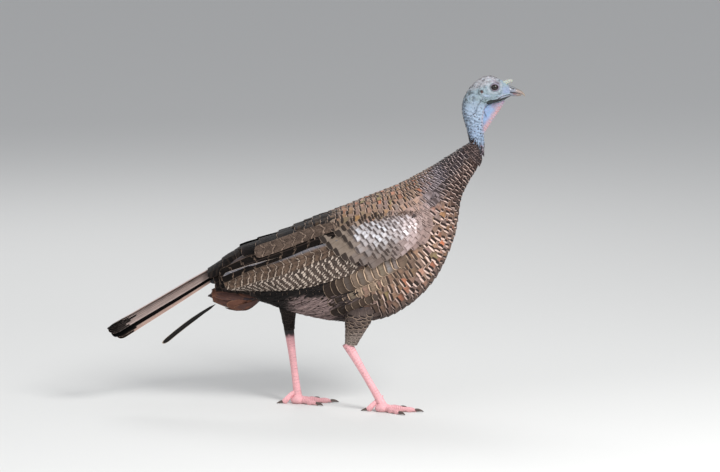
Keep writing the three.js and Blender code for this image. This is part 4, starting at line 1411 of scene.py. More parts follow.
def scutes(u, turn):
    """Height of a leg's scales: two staggered rows of broad plates up the front and three of
    small ones up the back, each a cushion that falls away steeply at its own edges."""
    front = abs(turn) < 0.25
    wide = np.where(front, 0.25, 1 / 6)
    tall = np.where(front, 5.2, 3.5)
    column = np.floor((turn + 0.5) / wide)
    a = (u / tall + 0.5 * (column % 2)) % 1 - 0.5
    b = ((turn + 0.5) / wide) % 1 - 0.5
    return 0.75 * (1 - (2 * a) ** 6) * (1 - (2 * b) ** 6) - 0.45


class TURKEY_OT_legs(bpy.types.Operator):
    """Scaled shanks, feet and toes with padded soles, and claws"""

    bl_idname = "turkey.legs"
    bl_label = "Legs and claws"

    def execute(self, context):
        skin = context.scene.turkey_skin
        scales, horn = scale_finish(), claw_finish()
        for name, side in SIDES.items():
            hock, ball = (np.array(place[name], float) for place in (HOCKS, BALLS))
            turn = math.radians(FOOT_TURNS[name])
            shank, toes, claws = Parts(), Parts(), Parts()
            # The left shank's upper end is painted dark: partly its own dark feathering and partly painted
            # shade under the body.
            points, tone = self.shank(hock, ball, skin, 1.0 if name == "left" else 0.15)
            shank.tube(points, tone=tone)
            points, tone = self.ball(ball, skin)
            shank.tube(points, tone=tone)
            for angle, length, pads, thick in FLAT_TOES.values():
                a = math.radians(-side * angle) + turn
                rings, tone = self.toe(length, pads, thick, skin)
                toes.tube(self.on_foot(rings, a, ball), tone=tone)
                claws.tube(self.on_foot(self.claw(length), a, ball))
            rings, tone = self.hind(skin)
            toes.tube(self.on_foot(rings, turn, ball), tone=tone)
            claws.tube(self.on_foot(relieved(Loft([(-26.5, 6.6, -25.4, 1.0, 2.3),
                (-30.5, 6.0, -29, 1.1, 2.0), (-34.5, 4.1, -33, 0.9, 1.4), (-38, 1.9, -37.6, 0.6, 0.6),
                (-38.9, 1.2, -38.8, 0.8, 0.15)]), 24, 20, 0.0), turn, ball))
            shank.piece("shank_scales_" + name, scales, "leg_scales", "shank_" + name)
            toes.piece("toe_scales_" + name, scales, "leg_scales",
                       *(f"toe_{toe}_{name}" for toe in ("middle", "inner", "outer", "hind")))
            claws.piece("claw_horn_" + name, horn, "claw_horn",
                        *(f"claw_{toe}_{name}" for toe in ("middle", "inner", "outer", "hind")))
        return {"FINISHED"}

    def on_foot(self, rings, angle, ball):
        """Turned about the ball of the foot and put in its place on the floor."""
        c, s = math.cos(angle), math.sin(angle)
        x, y, z = np.moveaxis(rings, -1, 0)
        return stack(x * c - y * s + ball[0] * MM, x * s + y * c + ball[1] * MM, np.maximum(z, 0))

    def shank(self, hock, ball, skin, dark_in_shade):
        """An oval tube from above the hock down to the ball, scaled, with a tendon's hollow on
        each side; the last argument is how dark its feathered upper end is, partly the feathers' own
        dark colour and partly painted shade under the body."""
        axis = unit(ball - hock)
        start, end = hock - axis * 9, ball + axis * 2
        forward = unit(np.array([-axis[2], 0, axis[0]]))
        s, turn = net(np.linspace(0, 1, 131), np.linspace(-0.5, 0.5, 57)[:-1])
        u = s * norm(end - start)
        f, w = oval(turn)
        depth, half = along(SHANK_DEPTHS, s), along(SHANK_HALF_WIDTHS, s)
        hollow = 0.5 * np.exp(-(((abs(turn) - 0.3) / 0.05) ** 2)) * smooth(0.1, 0.3, s) * fall(0.8, 0.95, s)
        grow = 1 + (scutes(u, turn) - hollow) / 7.5
        across = np.array([0, 1.0, 0])
        middle = start + (end - start) * s[..., None]
        point = (middle + forward * (f * depth * grow)[..., None]
            + across * (w * half * grow)[..., None]) * MM
        tone = tinted(skin.leg, point, 7, 0.02, 0.12)
        plate = np.clip(-scutes(u, turn) * 1.6, 0, 1)
        rear = smooth(0.2, 0.4, abs(turn))
        wash(tone, (0.62, 0.36, 0.38), (plate * 0.8))
        wash(tone, (0.70, 0.50, 0.50), (rear * 0.35))
        # Painted shade mixed with the feathering's own dark colour at the upper end.
        top = dark_in_shade * fall(0.07, 0.16, s + 0.02 * noise(point, 0.004, 15))
        wash(tone, (0.10, 0.08, 0.09), top)
        return point, tone

    def ball(self, ball, skin):
        """A low dome under the shank, pebbled."""
        a, b = net(np.linspace(0, 1, 22), np.linspace(0, 2 * np.pi, 41)[:-1])
        radius = along((1.5, 8.8, 12.2, 12.8, 10.6, 6.0, 1.0), a)
        height = along((0, 0.1, 3.0, 7.0, 12.0, 16.5, 18.0), a)
        point = stack(radius * np.cos(b), radius * np.sin(b), height) * MM
        point = point * (1 + 0.05 * noise(point, 0.0035, 3))[..., None]
        point = point + np.array([ball[0], ball[1], 0]) * MM
        point[..., 2] = np.maximum(point[..., 2], 0)
        return point, tinted(skin.leg, point, 9, 0.02, 0.12)

    def toe(self, length, pads, thick, skin):
        """A toe along +X on its pads; plates cross its upper side and its sole is pebbled."""
        s, turn = net(np.linspace(0, 1, 90), np.linspace(-0.5, 0.5, 37)[:-1])
        pad = np.cos(2 * np.pi * pads * (s - 0.12))
        x = mix(2.0, length, s)
        end = 1 - 0.35 * smooth(0.9, 1.0, s)
        top = thick * end * (mix(13.2, 6.8, s) + 0.5 * pad)
        half = thick * end * along((4.6, 5.0, 4.4, 3.4), s) * (1 + 0.09 * pad)
        bottom = np.where(pad > 0, -1.6 * pad, 0.6 * np.clip(-pad * 3, 0, 1))
        rise, reach = oval(turn)
        down = np.where(rise > 0, 0.55 * (1 - rise), 0.55 - 0.45 * rise)
        over = fall(0.2, 0.3, abs(turn))
        a = (x / 3.3) % 1 - 0.5
        plate = 0.45 * (1 - (2 * a) ** 6) * over
        small = 0.25 * noise(stack(x, 12 * turn, 0 * x), 1.6, 4) * (1 - over)
        z = top + (bottom - top) * down + (plate + small) * np.cos(2 * np.pi * turn)
        y = half * reach * (1 + 0.04 * (plate + small))
        point = stack(x, y, z) * MM
        tone = tinted(skin.leg, point, 11, 0.015, 0.12)
        gap = over * np.clip((abs(2 * a) - 0.75) * 4, 0, 1)
        wash(tone, (0.58, 0.34, 0.36), gap * 0.7)
        wash(tone, (0.55, 0.42, 0.38), (smooth(0.32, 0.45, abs(turn)) * 0.6))
        return point, tone

    def hind(self, skin):
        """The short hind toe, sloping down from the back of the shank to the floor."""
        loft = Loft([(2, 30, 0, 19, 4.3), (-3, 27, -5, 17, 4.2), (-13, 21, -11, 11.5, 3.8),
            (-21, 14, -17, 4, 3.7), (-26, 9.2, -22, -1.2, 3.4), (-28.8, 6.4, -27, 0.9, 2.6)])
        rings = relieved(loft, 60, 32, lambda p: 0.3 * np.sin(p[..., 0] / MM * 2 * np.pi / 3.0)
            + 0.2 * noise(p, 0.002, 5))
        return rings, tinted(skin.leg, rings, 13, 0.015, 0.12)

    def claw(self, length):
        """A blunt curved claw on the end of a toe, which wraps its root."""
        x, end = length - 2.0, length + 13
        loft = Loft([(x, 6.5, x, 1.2, 2.7), (mix(x, end, 0.3), 6.4, mix(x, end, 0.3), 1.3, 2.4),
            (mix(x, end, 0.65), 5.0, mix(x, end, 0.65), 1.3, 1.7), (end - 0.8, 2.2, end - 1.2, 0.8, 0.7),
            (end, 1.3, end - 0.1, 0.7, 0.15)])
        return relieved(loft, 28, 24, 0.0)


def stretched(patch):
    """Patches moved and scaled together so that they just fill the unit square."""
    low = patch[:, :2].min(0)
    size = (patch[:, :2] + patch[:, 2:]).max(0) - low
    return join([(patch[:, :2] - low) / size, patch[:, 2:] / size], axis=1)


def strip(count, window=(0.0, 0.0, 1.0, 1.0)):
    """Side by side patches for a few large feathers."""
    x, y, w, h = window
    step = w / count
    return stack(x + np.arange(count) * step + 0.04 * step, np.full(count, y + 0.03 * h),
        np.full(count, 0.92 * step), np.full(count, 0.94 * h))


def same(row, count):
    """One look for a number of feathers."""
    return looks_at([np.ones(count)], [row])


def pick_rows(rows, chosen):
    return {key: value[chosen] for key, value in rows.items()}


class TURKEY_OT_body_coat(bpy.types.Operator):
    """Feathers of the neck, back, breast, flanks and belly"""

    bl_idname = "turkey.body_coat"
    bl_label = "Body coat"

    def execute(self, context):
        coat = context.scene.turkey_coat
        material = feather_finish("body_plumage")
        sheet = BODY_SHEET
        exposure = lambda t: along([11, 11, 11.5, 12, coat.body_rows / MM, 11, 9.5, 7.6,
            coat.neck_rows / MM], t)

        def spacing(t, g):
            x = abs(g - 0.5) * 2
            back = along([12, 14, 15, 14, 13, 12, 10.5, 8.5, 7], t)
            front = along([14, 17, 19, 20, 19, 17, 14, 10.5, 8], t)
            flank = 3 * smooth(0.26, 0.36, t) * fall(0.5, 0.6, t) * smooth(0.36, 0.44, x) * fall(0.6, 0.72,
                x)
            return mix(back, front, smooth(0.3, 0.5, x)) + flank

        rows = rows_between(sheet, 0.06, 0.995, exposure)
        behind, saddle = rows[rows < 0.43], (0.31, 0.69)
        large = rows_between(sheet, 0.225, 0.43, lambda t: mix(34, 12, smooth(0.24, 0.40, t)), 0.5)
        t, g, dt, dg = join([lattice(sheet, behind, spacing, (0.0, 0.31)),
            lattice(sheet, behind, spacing, (0.69, 1.0)), lattice(sheet, rows[rows >= 0.43], spacing),
            lattice(sheet, large, lambda t, g: mix(25, 15, smooth(0.22, 0.42, t)) , saddle)], axis=1)
        rng = dice(coat.seed)
        keep = np.minimum(wing_cover(t, g), wing_cover(np.clip(t - 2.4 * dt, 0, 1), g)) < 0.1
        t, g, dt, dg = (a[keep] for a in (t, g, dt, dg))
        n = len(t)
        along_t = sheet.pace(0, t, g)
        along_g = sheet.pace(1, t, g)
        saddle = (abs(g - 0.5) < 0.19) & (t < 0.43)
        reach = np.clip(2.5 * dt * along_t, 0.012, 0.05 + 0.02 * saddle) * rng.uniform(0.93, 1.08, n)
        half = 0.59 * dg * along_g * rng.uniform(0.95, 1.06, n)
        x = abs(g - 0.5) * 2
        tilt = rng.normal(0, 0.09, n)
        root = stack(t, g)
        tip = stack(np.maximum(t - reach / along_t, 0.0), g + tilt * reach / along_g)
        rows = body_look(tip[:, 0], tip[:, 1], coat, rng)
        bury = along([4.5, 5, 5.5, 5.5, 5.5, 5.2, 5, 4.6, 4.0], t)
        lift = rng.normal(0.1, 0.25, n) + 0.4 * smooth(0.5, 0.8, x) + over_wing(tip[:, 0], tip[:, 1])
        lift += saddle * rng.uniform(0, 2.2, n)
        parts = {"neck_coat": t > 0.76, "back_coat": (t <= 0.76) & (x < 0.5),
            "breast_coat": (t <= 0.76) & (x >= 0.5)}
        for name, chosen in parts.items():
            vanes = Vanes()
            vanes.add(sheet, root[chosen], tip[chosen], half[chosen], pick_rows(rows, chosen),
                patches(g[chosen], t[chosen], dg[chosen], dt[chosen]),
                k=mix(0.42, 0.32, smooth(0.5, 0.6, x[chosen])), bury=bury[chosen], lift=lift[chosen],
                twist=0.05, seed=coat.seed + 1)
            if name == "breast_coat":
                self.flank_row(vanes, sheet, rng)
            vanes.piece(name, material, "body_feathers", *(["neck_feathered"] if name == "neck_coat"
                else ["trunk"]))
        return {"FINISHED"}

    def flank_row(self, vanes, sheet, rng):
        """A row of broad flank feathers under the wing's lower edge on either side, one over the
        next like roof tiles, each with a pale curved end, darkest at the back as painted shade of
        the wing."""
        run = np.array(FLANK_ROW[1]) - FLANK_ROW[0]
        ahead = run / np.hypot(*run)
        for low, shorter, gloom in ((0.0, 1.0, 0.0), (23.0, 0.75, 0.0), (41.0, 0.6, 1.0)):
            count = int(np.hypot(*run) / FLANK_STEP * shorter) + 1
            i = np.arange(count)[::-1]
            tips = np.array(FLANK_ROW[0]) + ahead * FLANK_STEP * i[:, None] + (0.35 * low, -low)
            share = i / (count - 1)
            roots = tips + ahead * 44 * shorter * (1 - 0.6 * smooth(0.72, 0.95, share))[:, None]
            # Painted shade: the rearmost feathers, under the wing, are darkest.
            dark = np.maximum(fall(0.1, 0.5, share + rng.normal(0, 0.04, count)), 0.8 * gloom)
            rows = looks_at([dark, 1 - dark], [look((0.17, 0.14, 0.125), (0.28, 0.23, 0.20),
                (0.60, 0.52, 0.45), 0, 1.0, 0.3), look((0.42, 0.36, 0.31), (0.62, 0.58, 0.56),
                (0.80, 0.69, 0.59), 2.5, 1.8, 0.8, ink=0.35)])
            rows = vary(rows, rng, 0.12, GLOWS, [1, 3, 3, 2, 2, 2, 2], 0.35 * (1 - dark))
            for side in (0, 1):
                (t, g), (end, way) = sheet.nearest(*roots.T), sheet.nearest(*tips.T)
                if side:
                    g, way = 1 - g, 1 - way
                cell = stack(g, t, np.full(count, 0.02), np.full(count, 0.03))
                vanes.add(sheet, stack(t, g), stack(end, way), mix(17.0, 13.0, share)
                    * (0.6 if low else 1.0) * MM, rows, cell, k=0.6, bury=3.5,
                    lift=3.2 - 0.06 * low * (1 - gloom), camber=0.05, seed=61 + side)


def over_wing(t, g):
    """Millimetres by which a body feather's tip rises to lie on the wing's upper and front edges."""
    l, below, above = in_wing(t, g)
    upper = smooth(-0.1, 0.02, below) * fall(0.12, 0.2, below) * (l < 1.02)
    front = fall(0.98, 1.1, l) * (l > 0.9) * (below > -0.05)
    return 4.6 * np.maximum(upper, front) * (above > -0.02)


class TURKEY_OT_wing_coats(bpy.types.Operator):
    """Folded wings: flight feathers, tertials and the rows of coverts"""

    bl_idname = "turkey.wing_coats"
    bl_label = "Wing coats"

    def execute(self, context):
        coat = context.scene.turkey_coat
        flight, plumage = flight_finish("flight_plumage"), feather_finish("covert_plumage", roughness=0.5)
        for name, side in SIDES.items():
            sheet = WING_SHEETS[name]
            rng = dice(coat.seed + 20 + side)
            self.quills(sheet, side, rng).piece("flight_feathers_" + name, flight, "wing_feathers",
                "wing_" + name)
            self.coverts(sheet, side, coat, rng).piece("coverts_" + name, plumage, "wing_feathers",
                "wing_" + name)
        return {"FINISHED"}

    def quills(self, sheet, side, rng):
        """Primaries, secondaries and tertials, each on a straight path over the wing, stacked so
        that the ones nearer the back lie further out."""
        vanes = Vanes(WIDE_RING, (0.0, 0.08, 0.2, 0.35, 0.5, 0.65))
        shows = -side  # which way across the edge that shows lies

        def pile(roots, tips, halves, lifts, row, number, seed, k):
            n = len(roots)
            rows = vary(same(row, n), rng, 0.08)
            rows["marks"][:, 2] = shows
            vanes.add(sheet, np.array(roots), np.array(tips), np.array(halves) * MM, rows,
                strip(n, (0.0, number / 3, 1.0, (1 if number < 1.5 else 0.4 if number < 2.4 else 0.6) / 3)),
                k=k, bury=1.5, lift=np.array(lifts), camber=0.012, thick=0.45, base=0.7, seed=seed,
                power=1.0)

        i = np.linspace(0, 1, 4)
        pile(stack(0.56 + 0 * i, mix(0.985, 0.95, i)), stack(mix(0.30, 0.12, i), mix(0.965, 0.88, i)),
            mix(7.0, 9.0, i), mix(-6.5, -4.6, i), look((0.11, 0.09, 0.085), (0.035, 0.03, 0.028),
            (0.68, 0.62, 0.56), 0, 0.0, 1, 11.0, 0.22, 0.0), 0, 3, 1.2)
        i = np.linspace(0, 1, 10)
        pile(stack(0.62 + 0 * i, mix(0.97, 0.50, i)), stack(mix(0.07, 0.006, i**0.6), mix(0.84, 0.66, i)),
            mix(11.5, 14.0, i), mix(-4.8, -0.4, i), look((0.30, 0.25, 0.225), (0.07, 0.055, 0.05),
            (0.72, 0.66, 0.61), 0, 0.0, 1, 12.0, 0.28, 0.25), 1, 5, 1.0)
        # The top secondary carries a painted blue sheen along its upper edge.
        pile([(0.60, 0.43)], [(0.008, 0.57)], [16.5], [0.4],
            look((0.35, 0.285, 0.24), (0.12, 0.09, 0.08), (0.70, 0.63, 0.57), 0, 0.3, 1, 14.0, 0.14, 0.12,
            rim=0.35), 1.6, 9, 1.0)
        pile([(0.57, 0.20)], [(0.0, 0.34)], [13.5], [1.3],
            look((0.085, 0.07, 0.062), (0.035, 0.03, 0.03), (0.52, 0.44, 0.38), 0, 0.25, 1, 25.0, 0.06,
            0.02), 2, 11, 0.9)
        pile([(0.57, 0.08)], [(0.19, 0.15)], [15], [2.1],
            look((0.34, 0.285, 0.25), (0.14, 0.11, 0.10), (0.60, 0.52, 0.46), 0, 0.25, 1, 19.0, 0.10, 0.35),
            2.4, 12, 0.8)
        return vanes

    def coverts(self, sheet, side, coat, rng):
        """Rows of coverts whose tips follow one curved line, moved on row by row to the shoulder."""
        starts = join([[0.482, 0.556, 0.598], 0.598 + np.cumsum(np.linspace(0.031, 0.020, 17))])
        vanes = Vanes()
        roots, tips, halves, lifts, cells = [], [], [], [], []
        for number, start in enumerate(starts):
            width = np.interp(number, (0, 1, 4, 10, 19), (17, 16, 12, 11, 10))
            w = np.linspace(0, 1, 201)
            slope = np.interp(start, (0.48, 0.65, 0.78, 0.95), (0.175, 0.19, 0.27, 0.34))
            t = start + slope * (w - 0.3) + 0.06 * smooth(0.55, 1, w) * fall(0.55, 0.7, start)
            line = sheet.pick(sheet.points, t, w)
            total = join([[0], np.cumsum(norm(np.diff(line, axis=0), axis=1))])
            count = max(int(round(total[-1] / (width * MM))), 2)
            share = (np.arange(count) + (0.3 if number % 2 else 0.7)) / count
            g = np.interp(share * total[-1], total, w)
            tip = stack(np.interp(g, w, t), g)
            gap = (starts[min(number + 1, len(starts) - 1)] - starts[max(number - 1, 0)]) / 2
            reach = np.interp(number, (0, 1, 2, 17), (0.11, 0.10, 0.08, 2.7 * gap))
            lean = np.interp(number, (0, 2, 3, 10, 17), (1.5, 1.8, 1.9, 1.8, 1.2))
            root = tip + reach * np.array([1.0, -lean])
            fit = (tip[:, 0] < 0.985) & (tip[:, 0] > 0.40)
            roots.append(root[fit]), tips.append(tip[fit])
            halves.append(np.full(fit.sum(), 0.60 * total[-1] / count))
            lifts.append(np.full(fit.sum(), 0.5 + 0.25 * min(number, 3)))
            cells.append(stack(g, np.full(count, (number + 0.5) / len(starts)), np.full(count, 1 / count),
                np.full(count, 1 / len(starts)))[fit])
        root, tip, half, lift, cell = map(join, (roots, tips, halves, lifts, cells))
        root[:, 0] = np.minimum(root[:, 0], 1.0)
        root[:, 1] = np.clip(root[:, 1], 0, 1)
        n = len(root)
        l, w = tip.T
        greater = look((0.48, 0.43, 0.385), (0.60, 0.55, 0.51), (0.66, 0.59, 0.53), 8.5, 0.6, 0.35,
            mottle=0.1, sheen=0.1)
        # The silver look is a painted sheen of light along the shoulder coverts' rows.
        silver = look(coat.silver, (0.90, 0.90, 0.92), (0.62, 0.56, 0.55), 3.0, 0.4, 1.0, sheen=0.5,
            ink=0.75)
        dusky = look((0.45, 0.40, 0.375), (0.58, 0.56, 0.55), (0.68, 0.61, 0.57), 4.2, 0.55, 0.5, sheen=0.2,
            ink=0.7)
        blush = look((0.70, 0.61, 0.60), (0.88, 0.82, 0.82), (0.82, 0.75, 0.74), 0.9, 0.6, 0.9, sheen=0.15,
            ink=0.35)
        front = look((0.45, 0.37, 0.34), (0.60, 0.50, 0.46), (0.64, 0.54, 0.50), 2.2, 0.8, 0.5, ink=0.6)
        gold = look((0.40, 0.33, 0.275), (0.66, 0.50, 0.34), (0.70, 0.61, 0.54), 4.5, 0.7, 0.8, ink=0.85)
        shine = smooth(0.58, 0.66, l) * fall(0.80, 0.93, l) * smooth(0.06, 0.2, w) * fall(0.50, 0.78, w)
        golden = fall(0.06, 0.2, w) * smooth(0.47, 0.55, l)
        weights = [fall(0.53, 0.62, l) * 1.2 + 0.03, shine * 1.8,
            smooth(0.53, 0.62, l) * fall(0.72, 0.84, l) * smooth(0.45, 0.75, w) * 1.3
            + smooth(0.5, 0.6, l) * (1 - shine) * 0.2, smooth(0.72, 0.88, l) * 1.3, golden * 1.4,
            smooth(0.86, 0.97, l + 0.08 * abs(w - 0.35)) * 4]
        rows = looks_at(weights, [greater, silver, dusky, blush, gold, front])
        rows = vary(rows, rng, 0.12, GLOWS, [3, 4, 4, 3, 3, 3, 2], 0.8 * weights[4] / sum(weights))
        half = half * rng.uniform(0.96, 1.04, n)
        tip = tip + rng.normal(0, 0.002, tip.shape)
        vanes.add(sheet, root, tip, half, rows, patches(*cell.T), k=mix(0.35, 0.55, l),
            bury=mix(3.0, 3.6, l), lift=lift + rng.normal(0, 0.2, n), camber=0.02, twist=-0.05 * side,
            seed=coat.seed + 30 + side, thick=0.4)
        return vanes


class TURKEY_OT_tail_coats(bpy.types.Operator):
    """Tail feathers, the loose one, and the coverts over and under the tail's root"""

    bl_idname = "turkey.tail_coats"
    bl_label = "Tail coats"

    def execute(self, context):
        coat = context.scene.turkey_coat
        flight, plumage = flight_finish("tail_plumage"), feather_finish("tail_covert_plumage")
        rng = dice(coat.seed + 40)
        roof = tail_sheet(reach=(-0.3, 1.0))
        vanes = Vanes(WIDE_RING, (0.0, 0.1, 0.25, 0.4, 0.55, 0.7))
        place = np.arange(9)
        for side in (LEFT, RIGHT):
            v = side * (place + 0.5) / 9
            out = 0.5 + 0.5 * v * 0.72
            back = 0.5 + 0.5 * v * 0.45
            tip = 1.0 - 0.026 * v**2 - 0.045 * rng.random(9) * (place % 3 > 0)
            # The feathers at places 5 and 6 are near black: painted shadow in the slit between the upper
            # and lower vanes.
            rows = looks_at([place < 5, (place == 5) | (place == 6), place > 6],
                [look((0.70, 0.63, 0.605), (0.02, 0.018, 0.018), (0.78, 0.71, 0.68), 40, 0.3, 1, 4.0, 0.0,
                0.3), look((0.05, 0.042, 0.042), (0.02, 0.018, 0.018), (0.2, 0.17, 0.15), 40, 0.1, 1, 4.0,
                0.0, 0.05), look((0.66, 0.56, 0.52), (0.02, 0.018, 0.018), (0.76, 0.65, 0.59), 36, 0.3, 1,
                4.0, 0.0, 0.25)])
            rows = vary(rows, rng, 0.06)
            rows["marks"][:, 2] = side
            vanes.add(roof, stack(np.full(9, 0.02), back), stack(tip, out), np.full(9, 14.0) * MM, rows,
                strip(9, (0.0, 0.0 if side > 0 else 0.5, 1.0, 0.5)), k=1.1, bury=0.5,
                lift=-0.9 - 0.5 * place - 1.0 * (place > 4), camber=0.015, thick=0.5, base=0.8,
                seed=coat.seed + 41, power=1.0)
        vanes.piece("tail_feathers", flight, "tail_feathers", "tail")

        single = Vanes(WIDE_RING, (0.0, 0.1, 0.25, 0.4, 0.55, 0.7))
        row = look((0.03, 0.025, 0.025), (0.015, 0.012, 0.012), (0.74, 0.68, 0.62), 10, 1.8, 1, 6.0, 0.0,
            0.02)
        single.add(loose_sheet(), np.array([[0.0, 0.5]]), np.array([[1.0, 0.52]]),
            np.array([LOOSE_FEATHER["half"] * MM]), same(row, 1), strip(1), k=1.1, bury=0.5, camber=0.02,
            thick=0.6, base=0.5, seed=3)
        single.piece("tail_feather_single", flight, "tail_feathers", "tail_feather_loose")

        upper = Vanes()
        rump = girth_sheet(Loft(RUMP_RIBS), 60, 160, outward=-1)
        t, g, dt, dg = lattice(rump, rows_between(rump, 0.03, 0.34, lambda t: 31, 0.5), lambda t, g: 23,
            (0.16, 0.84))
        keep = (t < 0.2) | (abs(g - 0.5) < 0.16)
        t, g, dt, dg = (a[keep] for a in (t, g, dt, dg))
        n = len(t)
        reach = 0.069 * rng.uniform(0.95, 1.03, n)
        row = look((0.06, 0.05, 0.05), (0.16, 0.13, 0.11), (0.44, 0.37, 0.32), 4, 0.5, 0.25, barring=0.08)
        upper.cover(rump, t, g, dt, dg, reach, rng.normal(0, 0.006, n), 0.62, vary(same(row, n), rng),
            k=0.4, bury=5.0, lift=rng.uniform(0.0, 2.0, n), seed=5)
        upper.piece("upper_tail_coverts", plumage, "body_feathers", "tail")

        vent = girth_sheet(VENT, 60, 120, outward=-1)
        t, g, dt, dg = lattice(vent, rows_between(vent, 0.0, 0.62, lambda t: 17), lambda t, g: 18)
        n = len(t)
        reach = 0.060 * rng.uniform(0.8, 1.1, n)
        looks = looks_at([np.ones(n), 1.2 * rng.random(n)],
            [look((0.22, 0.20, 0.22), (0.50, 0.31, 0.22), (0.44, 0.31, 0.24), 0, 0.8, 0.9),
            look((0.50, 0.32, 0.23), (0.28, 0.24, 0.24), (0.54, 0.39, 0.31), 0, 0.7, 0.6)])
        under = Vanes(WIDE_RING)
        under.cover(vent, t, g, dt, dg, reach, rng.normal(0, 0.012, n), 0.7, vary(looks, rng), end=0.86,
            k=3.0, bury=4.0, lift=rng.uniform(-0.3, 2.2, n), camber=0.05, base=0.6, seed=6)
        under.piece("undertail_feathers", plumage, "body_feathers", "undertail_coverts")
        return {"FINISHED"}


PLUME_RING = np.array([-1.0, 0.0, 1.0, 0.0])


